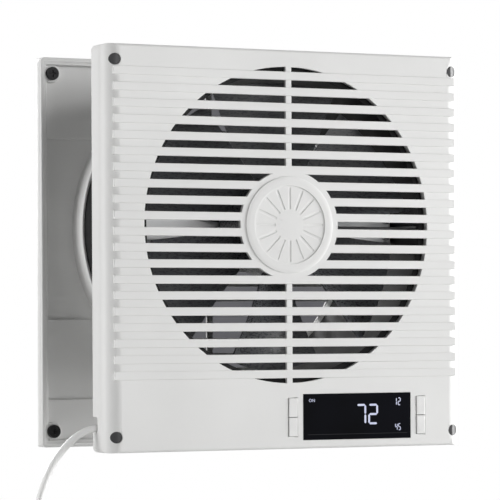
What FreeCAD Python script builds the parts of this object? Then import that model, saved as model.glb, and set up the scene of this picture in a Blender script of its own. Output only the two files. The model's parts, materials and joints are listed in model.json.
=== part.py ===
"""Room to room fan: a louvred front unit, a rear unit and the two duct sleeves that slide in each other.

Millimetres. The origin is on the duct axis, in the plane of the wall that the front unit sits on.
X points right, Y into the wall and Z up.
"""
import FreeCAD
import Part
import Sketcher
import math
import os
import re

Vector = FreeCAD.Vector
doc = FreeCAD.newDocument("room_fan")

# Driving dimensions
SIZES = {
    # square panels
    "panel_width": 260,
    "panel_height": 260,
    "axis_rise": 16,
    "wall_gap": 86,
    "shell_wall": 2.4,
    "edge_round": 2,
    "corner_round": 3.2,
    "front_depth": 22,
    "side_round": 11,
    "rear_depth": 16,
    "rear_round": 10,
    # louvres
    "slat_pitch": 10.22,
    "rib_height": 5.4,
    "rib_relief": 0.6,
    "rib_root": 2,
    "rib_inset": 5.8,
    "grille_margin": 3.6,
    "pad_radius": 35.5,
    "pad_bar": 4.3,
    "badge_radius": 31.5,
    "badge_height": 1,
    "badge_step": 3,
    "groove_width": 1.6,
    "groove_depth": 0.3,
    # fits
    "fit_gap": 0.3,
    "seat_gap": 0.2,
    "slip_gap": 0.3,
    "screw_gap": 0.1,
    "press_gap": 0.05,
    "shaft_gap": 0.03,
    # display and buttons
    "display_inset": 80.2,
    "display_lift": 20.6,
    "display_width": 80,
    "display_height": 30.2,
    "display_proud": 0.2,
    "holder_border": 2.2,
    "holder_floor": 1.6,
    "lcd_border": 2,
    "lcd_depth": 2.8,
    "key_gap": 7.6,
    "key_width": 6.9,
    "key_height": 12.6,
    "key_split": 0.4,
    "key_clear": 0.3,
    "key_proud": 0.5,
    "key_flange": 0.9,
    "key_flange_wall": 0.9,
    "key_play": 0.1,
    "key_travel": 0.8,
    "switch_side": 6,
    "switch_body": 1.8,
    "switch_knob": 1.6,
    "board_wall": 1.6,
    "board_border_x": 14.5,
    "board_border_z": 1.9,
    "board_screw_drop": 15,
    "connector_wide": 8,
    "connector_tall": 6,
    "connector_gap": 0.5,
    # front base, collars and sleeves
    "base_recess": 8.1,
    "base_wall": 2.4,
    "collar_wall": 2,
    "collar_front_gap": 1.1,
    "collar_reach": 12,
    "collar_lip": 1,
    "duct_margin": 30.6,
    "front_sleeve_wall": 1.8,
    "rear_sleeve_wall": 2,
    "front_sleeve_gap": 1.5,
    "front_sleeve_reach": 80,
    "rear_sleeve_reach": 58,
    "rear_collar_reach": 11.5,
    "rear_seat_depth": 2,
    # fasteners
    "wall_hole_inset_x": 7.4,
    "wall_hole_inset_z": 10,
    "wall_hole": 2.25,
    "plug_radius": 3.7,
    "plug_sink": 0.3,
    "plug_depth": 4.5,
    "wall_head_radius": 3.3,
    "wall_head_room": 3.5,
    "corner_boss": 4.9,
    "base_screw_inset": 11,
    "base_screw_high": 62,
    "base_screw_low": 80,
    "boss_radius": 4,
    "screw_shank": 1.5,
    "screw_head": 3,
    "screw_head_height": 2,
    "screw_bite": 5.5,
    "board_screw_shank": 1.1,
    "board_screw_head": 2.1,
    "board_screw_head_height": 1.6,
    "standoff_radius": 2.6,
    # rear tray
    "rim_depth": 3,
    "rim_wall": 2.5,
    "rim_step": 1.4,
    "pan_inset": 5,
    "pan_wall": 1.4,
    "top_floor": 4.5,
    "middle_floor": 8,
    "low_floor": 6,
    "foot_floor": 4.5,
    "apron_rise": 2.4,
    "apron_width": 14,
    "mark_x": 96.7,
    "mark_z": 54.3,
    "mark_radius": 3.3,
    "mark_depth": 0.3,
    "top_step": 60,
    "middle_step": 61,
    "low_step": 114,
    "tray_screw_inset_x": 8.8,
    "tray_screw_inset_z": 10.6,
    "tray_boss": 6.2,
    "tray_head": 4.4,
    "tray_head_height": 2.2,
    "tray_head_sink": 0.2,
    "tray_shank": 1.6,
    "tray_bite": 5,
    "cover_boss": 4.6,
    "recess_length": 4.6,
    "recess_width": 1.1,
    "recess_depth": 1.2,
    # impeller and motor
    "hub_radius": 33,
    "hub_wall": 3.4,
    "hub_front": 15,
    "hub_back": 14,
    "hub_cap": 2,
    "blade_gap": 4.4,
    "blade_root_chord": 39,
    "blade_tip_chord": 88,
    "blade_root_pitch": 40,
    "blade_tip_pitch": 15,
    "blade_camber": 0.08,
    "blade_wall": 2.2,
    "yoke_wall": 1.5,
    "yoke_back": 12,
    "magnet_wall": 2.7,
    "magnet_inset": 2,
    "magnet_length": 18,
    "air_gap": 0.6,
    "stator_front": 7,
    "stator_back": 5,
    "tooth_width": 4.6,
    "tooth_tip": 2.4,
    "tooth_gap": 2,
    "stator_ring": 5,
    "winding_wall": 2,
    "winding_overhang": 2.4,
    "winding_end_gap": 0.6,
    "shaft_radius": 2,
    "bearing_radius": 5.5,
    "bearing_width": 4,
    "bearing_shoulder": 0.9,
    "tube_wall": 2.5,
    "tube_front": 9,
    "clip_wall": 0.6,
    "clip_radius": 3.8,
    "clip_play": 0.3,
    "shaft_end": 0.8,
    # motor bracket
    "bracket_front": 18,
    "bracket_wall": 5,
    "bracket_half_height": 10.5,
    "bracket_round": 1.8,
    "bracket_end_gap": 2.4,
    "bracket_disc": 30,
    "bracket_disc_wall": 3,
    "lug_length": 11,
    "lug_depth": 6,
    "lug_half_height": 9,
    "bracket_screw_inset": 6.4,
    "bracket_screw_z": 5.5,
    "bracket_screw_head": 2.7,
    "motor_board_radius": 27,
    # leads, cord and plug
    "lead_radius": 0.9,
    "lead_bend": 4,
    "lead_clear": 0.2,
    "lead_depth": 1.9,
    "lead_right": 18,
    "supply_radius": 1.4,
    "supply_clear": 0.15,
    "notch_deep": 7.5,
    "notch_up": 7,
    "notch_down": 3,
    "notch_round": 2,
    "cord_radius": 2.2,
    "cord_depth": 4,
    "cord_lift": 15.8,
    "gland_base": 3.7,
    "gland_tip": 2.7,
    "gland_length": 22,
    "gland_neck": 2,
    "gland_flange": 3.4,
    "gland_flange_wall": 1.8,
    "hood_inset": 26,
    "hood_length": 28,
    "hood_half_height": 5.6,
    "hood_wall": 2.4,
    "hood_back_gap": 0.4,
    "hood_back_wall": 1.4,
    "coil_outer": 30,
    "coil_step": 2.9,
    "coil_layer_pitch": 5.7,
    "coil_tail": 25,
    "tie_wall": 1,
    "tie_width": 5,
    "tie_clear": 0.4,
    "tie_slack": 1.1,
    "plug_boot_length": 20,
    "plug_boot_radius": 4.6,
    "plug_width": 24,
    "plug_thick": 16,
    "plug_length": 24,
    "plug_round": 5,
    "blade_spread": 12.7,
    "blade_thin": 1.5,
    "blade_wide": 6.3,
    "blade_long": 16,
}

# Counts
RIBS = 20
SLOTS = 21
BLADES = 6
TEETH = 9
BADGE_GROOVES = 16
COIL_HALF_TURNS_PER_LAYER = 5
COIL_LAYERS = 4
COIL_SAMPLES = 1500
NEIGHBOUR_DIAMETERS = 3

# Shares
BLADE_SHARES = (0, 0.35, 0.7, 1)
ARC_SHARE = 0.45

sheet = doc.addObject("Spreadsheet::Sheet", "sizes")
for row, (alias, size) in enumerate(SIZES.items(), start=1):
    sheet.set(f"A{row}", alias)
    sheet.set(f"B{row}", str(size))
    sheet.setAlias(f"B{row}", alias)
doc.recompute()


def formula(text):
    """The text with each size's name turned into a reference to its cell."""
    return re.sub(r"[a-z]\w*", lambda m: "sizes." + m[0] if m[0] in SIZES else m[0], text)


def number(text):
    """The value of a formula now."""
    return float(sheet.evalExpression(formula(text)))


# Places that several pieces share
LEFT, RIGHT = "(-panel_width / 2)", "(panel_width / 2)"
TOP = "(panel_height / 2 - axis_rise)"
BOTTOM = "(-panel_height / 2 - axis_rise)"
FACE = "(-front_depth)"
INNER_FACE = "(shell_wall - front_depth)"
PLATE_BACK = "(-base_recess)"
PLATE_FRONT = "(-base_recess - base_wall)"
DUCT = "(min(panel_width; panel_height) / 2 - duct_margin)"
GRILLE = f"({DUCT} + grille_margin)"
SLEEVE_OUTER = f"({DUCT} + front_sleeve_wall)"
REAR_SLEEVE_BORE = f"({SLEEVE_OUTER} + slip_gap)"
REAR_SLEEVE_OUTER = f"({REAR_SLEEVE_BORE} + rear_sleeve_wall)"
COLLAR_BORE = f"({REAR_SLEEVE_OUTER} + seat_gap)"
COLLAR_OUTER = f"({COLLAR_BORE} + collar_wall)"
COLLAR_FRONT = f"({INNER_FACE} + collar_front_gap)"
SLEEVE_FRONT = f"({COLLAR_FRONT} + front_sleeve_gap)"
DISPLAY_Z = f"({BOTTOM} + display_lift)"
BOARD_FRONT = f"({INNER_FACE} + lcd_depth + holder_floor)"
BOARD_BACK = f"({BOARD_FRONT} + board_wall)"
DISPLAY_X = f"({RIGHT} - display_inset)"
KEY_REACH = "(display_width / 2 + key_gap)"
KEY_XS = {"left": f"({DISPLAY_X} - {KEY_REACH})", "right": f"({DISPLAY_X} + {KEY_REACH})"}
KEY_BACK = f"({INNER_FACE} + key_play + key_flange_wall)"
CORD_Y = "(-cord_depth)"
CORD_Z = f"({BOTTOM} + cord_lift)"
SLOT_HEIGHT = "(slat_pitch - rib_height)"
SIGNS = ("-1", "1")

TURNS = {
    "x": FreeCAD.Rotation(Vector(0, 1, 0), 90),
    "-x": FreeCAD.Rotation(Vector(0, 1, 0), -90),
    "y": FreeCAD.Rotation(Vector(1, 0, 0), -90),
    "z": FreeCAD.Rotation(),
    "-z": FreeCAD.Rotation(Vector(1, 0, 0), 180),
}


def place(obj, x, y, z):
    """Bind an object's position to three formulas."""
    for axis, text in zip("xyz", (x, y, z)):
        obj.setExpression("Placement.Base." + axis, formula(text))
    return obj


def block(name, x, y, z):
    """A box between two values on each axis."""
    obj = doc.addObject("Part::Box", name)
    for side, (low, high) in zip(("Length", "Width", "Height"), (x, y, z)):
        obj.setExpression(side, formula(f"({high}) - ({low})"))
    return place(obj, x[0], y[0], z[0])


def rod(name, radius, along, span, centre):
    """A cylinder along one axis between two values, with its centre on the other two axes."""
    obj = doc.addObject("Part::Cylinder", name)
    obj.setExpression("Radius", formula(radius))
    obj.setExpression("Height", formula(f"({span[1]}) - ({span[0]})"))
    obj.Placement = FreeCAD.Placement(Vector(), TURNS[along])
    first, second = centre
    spots = {"x": (span[0], first, second), "y": (first, span[0], second), "z": (first, second, span[0])}
    return place(obj, *spots[along])


def cone(name, start_radius, end_radius, length, along, start):
    """A cone from a start point along a direction."""
    obj = doc.addObject("Part::Cone", name)
    obj.setExpression("Radius1", formula(start_radius))
    obj.setExpression("Radius2", formula(end_radius))
    obj.setExpression("Height", formula(length))
    obj.Placement = FreeCAD.Placement(Vector(), TURNS[along])
    return place(obj, *start)


def fuse(name, parts):
    """One solid from pieces that overlap or touch."""
    obj = doc.addObject("Part::MultiFuse", name)
    obj.Shapes = parts
    obj.Refine = True
    return obj


def cut(name, base, tools):
    """A piece with one or more tools taken away."""
    tool = tools[0]
    if len(tools) > 1:
        tool = doc.addObject("Part::MultiFuse", name + "_tools")
        tool.Shapes = tools
    obj = doc.addObject("Part::Cut", name)
    obj.Base = base
    obj.Tool = tool
    obj.Refine = True
    return obj


def common(name, parts):
    """What several pieces share."""
    obj = doc.addObject("Part::MultiCommon", name)
    obj.Shapes = parts
    obj.Refine = True
    return obj


def group(name, parts):
    """Separate solids kept under one name."""
    obj = doc.addObject("Part::Compound", name)
    obj.Links = parts
    return obj


def rounded(name, x, y, z, along, radius, corners):
    """A box with some of its edges along one axis rounded; a corner is (0 or 1, 0 or 1), low or high."""
    spans = {"x": x, "y": y, "z": z}
    first, second = [axis for axis in "xyz" if axis != along]
    squares, rods = [], []
    for i, (a, b) in enumerate(corners):
        spots = {}
        centre = []
        for axis, high in ((first, a), (second, b)):
            edge = spans[axis][high]
            inward = f"({edge} - ({radius}))" if high else f"({edge} + ({radius}))"
            spots[axis] = (inward, edge) if high else (edge, inward)
            centre.append(inward)
        spots[along] = spans[along]
        squares.append(block(f"{name}_square_{i}", spots["x"], spots["y"], spots["z"]))
        rods.append(rod(f"{name}_round_{i}", radius, along, spans[along], centre))
    return fuse(name, [cut(name + "_core", block(name + "_block", x, y, z), squares)] + rods)


def turned(name, profile, axis="y", at=("0", "0", "0")):
    """A turned piece: corners are (radius, distance along the axis), about Y, or about X."""
    body = doc.addObject("PartDesign::Body", name)
    sketch = body.newObject("Sketcher::SketchObject", name + "_profile")
    plane = next(item for item in body.Origin.OriginFeatures if item.Role == "XY_Plane")
    sketch.AttachmentSupport = [(plane, "")]
    sketch.MapMode = "FlatFace"
    corners = [(radius, along) if axis == "y" else (along, radius) for radius, along in profile]
    points = [Vector(number(x), number(y), 0) for x, y in corners]
    for start, end in zip(points, points[1:] + points[:1]):
        sketch.addGeometry(Part.LineSegment(start, end), False)
    for i in range(len(points)):
        sketch.addConstraint(Sketcher.Constraint("Coincident", i, 2, (i + 1) % len(points), 1))
    for i, (corner, point) in enumerate(zip(corners, points)):
        for kind, text, now in (("DistanceX", corner[0], point.x), ("DistanceY", corner[1], point.y)):
            index = sketch.addConstraint(Sketcher.Constraint(kind, -1, 1, i, 1, now))
            sketch.setExpression(f"Constraints[{index}]", formula(text))
    revolution = body.newObject("PartDesign::Revolution", name + "_turn")
    revolution.Profile = sketch
    revolution.ReferenceAxis = (sketch, ["V_Axis" if axis == "y" else "H_Axis"])
    revolution.Angle = 360
    return place(body, *at)


def ring(name, inner, outer, y):
    """A plain tube about the duct axis."""
    return turned(name, [(inner, y[0]), (outer, y[0]), (outer, y[1]), (inner, y[1])])


def screw(name, spot, head, shank, y_seat, head_height, length, inward="1"):
    """A screw along Y at a spot (x, z): its head stands on the seat and its shank runs inward."""
    head_span, shank_span = (f"{y_seat} - {head_height}", y_seat), (y_seat, f"{y_seat} + {length}")
    if inward == "-1":
        head_span, shank_span = (y_seat, f"{y_seat} + {head_height}"), (f"{y_seat} - ({length})", y_seat)
    head_rod = rod(name + "_head", head, "y", head_span, spot)
    return fuse(name, [head_rod, rod(name + "_shank", shank, "y", shank_span, spot)])


def swing(obj, angle, radius, width, y):
    """Turn a block about the duct axis: it starts at a radius, with its middle on the spoke at an angle."""
    obj.Placement = FreeCAD.Placement(Vector(), FreeCAD.Rotation(Vector(0, 1, 0), -angle))
    cosine, sine = f"cos({angle} deg)", f"sin({angle} deg)"
    return place(obj, f"({radius}) * {cosine} + ({width}) / 2 * {sine}", y,
                 f"({radius}) * {sine} - ({width}) / 2 * {cosine}")


def shaped(name, shape):
    """A piece whose shape is worked out from the sizes."""
    obj = doc.addObject("Part::Feature", name)
    obj.Shape = shape
    return obj


nodes = []


def node(label, obj):
    """Keep an object as one of the fan's pieces."""
    obj.Label = label
    nodes.append(obj)
    return obj


def mirrored_spots(x, high, low):
    """The four spots at plus and minus x, and at two heights."""
    return [(f"{sign} * ({x})", z) for sign in SIGNS for z in (high, low)]


WALL_SPOTS = mirrored_spots(f"{RIGHT} - wall_hole_inset_x", f"({TOP} - wall_hole_inset_z)",
                            f"({BOTTOM} + wall_hole_inset_z)")
BASE_SCREW_SPOTS = mirrored_spots(f"{RIGHT} - base_screw_inset", "base_screw_high", "(-base_screw_low)")
TRAY_SPOTS = mirrored_spots(f"{RIGHT} - tray_screw_inset_x", f"({TOP} - tray_screw_inset_z)",
                            f"({BOTTOM} + tray_screw_inset_z)")
BOARD_SPOTS = [(x, f"({DISPLAY_Z} + {sign} * board_screw_drop)") for x in KEY_XS.values() for sign in SIGNS]
FOUR_CORNERS = [(0, 0), (0, 1), (1, 0), (1, 1)]


def louvre_ribs(name, y):
    """The raised bands across a panel."""
    bands = []
    for i in range(RIBS):
        middle = f"({i - (RIBS - 1) / 2} * slat_pitch)"
        heights = (f"{middle} - rib_height / 2", f"{middle} + rib_height / 2")
        bands.append(block(f"{name}_{i}", (f"{LEFT} + rib_inset", f"{RIGHT} - rib_inset"), y, heights))
    return bands


def louvre_slots(name, y):
    """The slots between the bands, inside a circle and outside the centre pad and bar."""
    strips = []
    for i in range(SLOTS):
        middle = f"({i - (SLOTS - 1) // 2} * slat_pitch)"
        heights = (f"{middle} - {SLOT_HEIGHT} / 2", f"{middle} + {SLOT_HEIGHT} / 2")
        strips.append(block(f"{name}_{i}", (f"-{GRILLE}", GRILLE), y, heights))
    disc = rod(name + "_disc", GRILLE, "y", y, ("0", "0"))
    pad = rod(name + "_pad", "pad_radius", "y", y, ("0", "0"))
    bar = block(name + "_bar", ("-pad_bar / 2", "pad_bar / 2"), y, (f"-{GRILLE}", GRILLE))
    window = cut(name + "_window", disc, [pad, bar])
    return common(name, [window, fuse(name + "_strips", strips)])


# Front cover
panel_x, panel_z = (LEFT, RIGHT), (BOTTOM, TOP)
front_y = (FACE, "0")
front_sides = rounded("front_sides", panel_x, front_y, panel_z, "z", "side_round", [(0, 0), (1, 0)])
front_plan = rounded("front_plan", panel_x, front_y, panel_z, "y", "corner_round", FOUR_CORNERS)
front_lips = rounded("front_lips", panel_x, front_y, panel_z, "x", "edge_round", [(0, 0), (0, 1)])
front_outer = common("front_outer", [front_sides, front_plan, front_lips])
inner_x = (f"({LEFT} + shell_wall)", f"({RIGHT} - shell_wall)")
inner_z = (f"({BOTTOM} + shell_wall)", f"({TOP} - shell_wall)")
front_hollow = rounded("front_hollow", inner_x, (INNER_FACE, "shell_wall"), inner_z, "z",
                       "(side_round - shell_wall)", [(0, 0), (1, 0)])
front_shell = cut("front_shell", front_outer, [front_hollow])
additions = louvre_ribs("front_rib", (f"{FACE} - rib_relief", f"{FACE} + rib_root"))
additions.append(rod("front_pad", "pad_radius", "y", (f"{FACE} - rib_relief", INNER_FACE), ("0", "0")))
corner_posts = []
for i, spot in enumerate(WALL_SPOTS):
    post_span = (f"{INNER_FACE} - shell_wall / 2", PLATE_BACK)
    corner_posts.append(rod(f"corner_post_{i}", "corner_boss", "y", post_span, spot))
additions.append(common("corner_posts", [fuse("corner_post_set", corner_posts), front_outer]))
for i, spot in enumerate(BASE_SCREW_SPOTS):
    boss_span = (f"{INNER_FACE} - shell_wall / 2", PLATE_FRONT)
    additions.append(rod(f"cover_boss_{i}", "boss_radius", "y", boss_span, spot))
openings = [louvre_slots("front_slot", (f"{FACE} - shell_wall", f"{INNER_FACE} + shell_wall"))]
wall_cut = (f"{FACE} - shell_wall", f"{INNER_FACE} + shell_wall / 2")
display_x = (f"{DISPLAY_X} - display_width / 2", f"{DISPLAY_X} + display_width / 2")
display_z = (f"{DISPLAY_Z} - display_height / 2", f"{DISPLAY_Z} + display_height / 2")
openings.append(block("display_opening", display_x, wall_cut, display_z))
for side, x in KEY_XS.items():
    key_x = (f"{x} - key_width / 2", f"{x} + key_width / 2")
    key_z = (f"{DISPLAY_Z} - key_height - key_split / 2", f"{DISPLAY_Z} + key_height + key_split / 2")
    openings.append(block(f"key_opening_{side}", key_x, wall_cut, key_z))
PLUG_FLOOR = f"({FACE} + plug_sink + plug_depth)"
for i, spot in enumerate(WALL_SPOTS):
    openings.append(rod(f"wall_hole_{i}", "wall_hole", "y", (FACE, "shell_wall"), spot))
    plug_span = (f"{FACE} - shell_wall", PLUG_FLOOR)
    openings.append(rod(f"plug_seat_{i}", "plug_radius + press_gap", "y", plug_span, spot))
    head_span = (FACE, f"{PLUG_FLOOR} + wall_head_room")
    openings.append(rod(f"wall_head_seat_{i}", "wall_head_radius", "y", head_span, spot))
for i, spot in enumerate(BASE_SCREW_SPOTS):
    bite = (f"{PLATE_FRONT} - screw_bite - fit_gap", PLATE_FRONT)
    openings.append(rod(f"cover_boss_hole_{i}", "screw_shank + screw_gap", "y", bite, spot))
openings.append(rounded("cord_notch", (f"{LEFT} - shell_wall", f"{LEFT} + 2 * shell_wall"),
                        ("-notch_deep", "shell_wall"), (f"{CORD_Z} - notch_down", f"{CORD_Z} + notch_up"),
                        "x", "notch_round", [(0, 0), (0, 1)]))
front_blank = fuse("front_cover_blank", [front_shell] + additions)
node("front_cover", cut("front_cover_solid", front_blank, openings))

# Centre badge: turned steps and a small boss, with radial grooves between
PAD_FACE = f"({FACE} - rib_relief)"
BADGE_FIELD = f"({PAD_FACE} - badge_height / 2)"
BADGE_TOP = f"({PAD_FACE} - badge_height)"
BADGE_RING = "(badge_radius - 2 * badge_step)"
BOSS_TOP = "(2 * badge_step)"
BOSS_FOOT = "(3 * badge_step)"
badge_turned = turned("badge_turned", [
    ("0", PAD_FACE),
    ("badge_radius", PAD_FACE),
    ("badge_radius", BADGE_FIELD),
    ("badge_radius - badge_step", BADGE_TOP),
    (BADGE_RING, BADGE_TOP),
    (BADGE_RING, BADGE_FIELD),
    (BOSS_FOOT, BADGE_FIELD),
    (BOSS_TOP, BADGE_TOP),
    ("0", BADGE_TOP),
])
badge_grooves = []
for i in range(BADGE_GROOVES):
    groove = block(f"badge_groove_{i}", ("0", f"{BADGE_RING} - {BOSS_FOOT} - badge_step"),
                   ("0", "badge_height"), ("0", "groove_width"))
    swing(groove, 360 * i / BADGE_GROOVES, f"{BOSS_FOOT} + badge_step / 2", "groove_width",
          f"{BADGE_FIELD} + groove_depth - badge_height")
    badge_grooves.append(groove)
node("center_badge", cut("badge_solid", badge_turned, badge_grooves))

# Corner plugs over the wall-screw holes, flush with the rounded sides
plugs = []
for i, spot in enumerate(WALL_SPOTS):
    plug_rod = rod(f"plug_rod_{i}", "plug_radius", "y", (f"{FACE} + plug_sink", PLUG_FLOOR), spot)
    plugs.append(common(f"plug_{i}", [plug_rod, front_outer]))
node("corner_plugs", group("corner_plug_set", plugs))

# Display: window, panel and holder
window_x = (f"{display_x[0]} + press_gap", f"{display_x[1]} - press_gap")
window_z = (f"{display_z[0]} + press_gap", f"{display_z[1]} - press_gap")
node("display_window", block("window_solid", window_x, (f"{FACE} - display_proud", INNER_FACE), window_z))
lcd_x = (f"{display_x[0]} + lcd_border", f"{display_x[1]} - lcd_border")
lcd_z = (f"{display_z[0]} + lcd_border", f"{display_z[1]} - lcd_border")
lcd_y = (INNER_FACE, f"{INNER_FACE} + lcd_depth")
node("lcd_panel", block("lcd_solid", lcd_x, lcd_y, lcd_z))
holder_x = (f"{display_x[0]} - holder_border", f"{display_x[1]} + holder_border")
holder_z = (f"{display_z[0]} - holder_border", f"{display_z[1]} + holder_border")
holder_blank = block("holder_blank", holder_x, (INNER_FACE, BOARD_FRONT), holder_z)
pocket_x = (f"{lcd_x[0]} - press_gap", f"{lcd_x[1]} + press_gap")
pocket_z = (f"{lcd_z[0]} - press_gap", f"{lcd_z[1]} + press_gap")
holder_pocket = block("holder_pocket", pocket_x, (f"{INNER_FACE} - shell_wall", lcd_y[1]), pocket_z)
node("display_holder", cut("holder_solid", holder_blank, [holder_pocket]))

# Buttons: a cap in its column's opening and two side flanges behind the front wall
for side, x in KEY_XS.items():
    for row, sign in (("upper", "1"), ("lower", "-1")):
        near = f"{DISPLAY_Z} + {sign} * key_split / 2"
        far = f"{DISPLAY_Z} + {sign} * (key_height + key_split / 2 - key_clear)"
        heights = (near, far) if sign == "1" else (far, near)
        cap_x = (f"{x} - key_width / 2 + key_clear", f"{x} + key_width / 2 - key_clear")
        cap = rounded(f"cap_{side}_{row}", cap_x, (f"{FACE} - key_proud", KEY_BACK), heights, "z",
                      "key_proud", [(0, 0), (1, 0)])
        flange_x = (f"{x} - key_width / 2 - key_flange", f"{x} + key_width / 2 + key_flange")
        flange = block(f"flange_{side}_{row}", flange_x, (f"{INNER_FACE} + key_play", KEY_BACK), heights)
        node(f"button_{side}_{row}", fuse(f"button_{side}_{row}_solid", [cap, flange]))

# Circuit board with two connectors on its back and a relay, its switches and screws
board_x = (f"{display_x[0]} - board_border_x", f"{display_x[1]} + board_border_x")
board_z = (f"{display_z[0]} - board_border_z", f"{display_z[1]} + board_border_z")
board_plate = block("board_plate", board_x, (BOARD_FRONT, BOARD_BACK), board_z)
connector_y = (BOARD_BACK, f"{PLATE_FRONT} - connector_gap")
SUPPLY_END = board_x[0]
supply_socket = block("supply_socket", (board_x[0], f"{board_x[0]} + connector_wide"), connector_y,
                      (f"{CORD_Z} - connector_tall / 2", f"{CORD_Z} + connector_tall / 2"))
LEAD_Z = f"({DISPLAY_Z} + connector_tall)"
motor_socket = block("motor_socket", (f"{board_x[1]} - connector_wide", board_x[1]), connector_y,
                     (f"{LEAD_Z} - connector_tall / 2", f"{LEAD_Z} + connector_tall / 2"))
relay = block("relay", (f"{DISPLAY_X} - connector_wide", f"{DISPLAY_X} + connector_wide"), connector_y,
              (f"{DISPLAY_Z} - connector_tall", f"{DISPLAY_Z} + connector_tall"))
board_holes = []
for i, spot in enumerate(BOARD_SPOTS):
    span = (f"{BOARD_FRONT} - board_wall", f"{BOARD_BACK} + board_wall")
    board_holes.append(rod(f"board_hole_{i}", "board_screw_shank + screw_gap", "y", span, spot))
board_blank = fuse("board_blank", [board_plate, supply_socket, motor_socket, relay])
node("control_board", cut("board_solid", board_blank, board_holes))
board_screws = []
BOARD_BITE = f"({PLATE_FRONT} - {BOARD_FRONT})"
for i, spot in enumerate(BOARD_SPOTS):
    board_screws.append(screw(f"board_screw_{i}", spot, "board_screw_head", "board_screw_shank",
                              BOARD_FRONT, "board_screw_head_height", BOARD_BITE))
node("board_screws", group("board_screw_set", board_screws))
switches = []
for side, x in KEY_XS.items():
    for row, sign in (("upper", "1"), ("lower", "-1")):
        z = f"({DISPLAY_Z} + {sign} * (key_height + key_split) / 2)"
        base = block(f"switch_base_{side}_{row}", (f"{x} - switch_side / 2", f"{x} + switch_side / 2"),
                     (f"{BOARD_FRONT} - switch_body", BOARD_FRONT),
                     (f"{z} - switch_side / 2", f"{z} + switch_side / 2"))
        knob_y = (f"{KEY_BACK} + key_travel + key_play", BOARD_FRONT)
        knob = rod(f"switch_knob_{side}_{row}", "switch_knob", "y", knob_y, (x, z))
        switches.append(fuse(f"switch_{side}_{row}", [base, knob]))
node("tact_switches", group("switch_set", switches))

# Front base: plate, collar, board posts and the hood over the cord's strain relief
plate_x = (f"{inner_x[0]} + fit_gap", f"{inner_x[1]} - fit_gap")
plate_z = (f"{inner_z[0]} + fit_gap", f"{inner_z[1]} - fit_gap")
base_plate = block("base_plate", plate_x, (PLATE_FRONT, PLATE_BACK), plate_z)
plate_through = (f"{PLATE_FRONT} - base_wall", f"{PLATE_BACK} + base_wall")
plate_holes = [rod("plate_duct_hole", COLLAR_BORE, "y", plate_through, ("0", "0"))]
for i, spot in enumerate(WALL_SPOTS):
    plate_holes.append(rod(f"plate_notch_{i}", "corner_boss + fit_gap", "y", plate_through, spot))
for i, spot in enumerate(BASE_SCREW_SPOTS):
    plate_holes.append(rod(f"plate_screw_hole_{i}", "screw_shank + screw_gap", "y", plate_through, spot))
HOOD_LEFT = f"({LEFT} + hood_inset)"
HOOD_RIGHT = f"({HOOD_LEFT} + hood_length)"
hood = block("hood", (HOOD_LEFT, HOOD_RIGHT), (PLATE_FRONT, "-hood_back_gap"),
             (f"{CORD_Z} - hood_half_height", f"{CORD_Z} + hood_half_height"))
HOOD_INSIDE = f"({HOOD_LEFT} + hood_wall)"
hood_room = block("hood_room", (HOOD_INSIDE, f"{HOOD_RIGHT} - hood_wall"),
                  (f"{PLATE_FRONT} - base_wall", "-hood_back_gap - hood_back_wall"),
                  (f"{CORD_Z} - hood_half_height + hood_wall / 2",
                   f"{CORD_Z} + hood_half_height - hood_wall / 2"))
hood_hole = rod("hood_hole", "gland_neck + press_gap", "x",
                (f"{HOOD_LEFT} - hood_wall", f"{HOOD_INSIDE} + hood_wall"), (CORD_Y, CORD_Z))
LIP_FRONT = "(collar_reach - collar_lip)"
collar = turned("front_collar", [
    (COLLAR_BORE, COLLAR_FRONT),
    (COLLAR_OUTER, COLLAR_FRONT),
    (COLLAR_OUTER, "collar_reach"),
    (f"{SLEEVE_OUTER} + slip_gap", "collar_reach"),
    (f"{SLEEVE_OUTER} + slip_gap", LIP_FRONT),
    (COLLAR_BORE, LIP_FRONT),
])
LEAD_Y = f"({PLATE_FRONT} - lead_depth)"
LEAD_HOLE_X = (f"{DUCT} - front_sleeve_wall", f"{COLLAR_OUTER} + collar_wall")
base_lead_hole = rod("base_lead_hole", "lead_radius + lead_clear", "x", LEAD_HOLE_X, (LEAD_Y, "0"))
posts = []
for i, spot in enumerate(BOARD_SPOTS):
    post = rod(f"board_post_{i}", "standoff_radius", "y", (BOARD_BACK, PLATE_FRONT), spot)
    posts.append(post)
    plate_holes.append(rod(f"board_post_hole_{i}", "board_screw_shank + screw_gap", "y",
                           (f"{BOARD_BACK} - board_wall", f"{PLATE_FRONT} + fit_gap"), spot))
base_blank = fuse("base_blank", [base_plate, hood] + posts)
base_open = cut("base_open", base_blank, plate_holes + [hood_room, hood_hole])
base_with_collar = fuse("base_with_collar", [base_open, collar])
node("front_base", cut("front_base_solid", base_with_collar, [base_lead_hole]))
base_screws = []
for i, spot in enumerate(BASE_SCREW_SPOTS):
    base_screws.append(screw(f"base_screw_{i}", spot, "screw_head", "screw_shank", PLATE_BACK,
                             "screw_head_height", "base_wall + screw_bite", "-1"))
node("base_screws", group("base_screw_set", base_screws))

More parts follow.
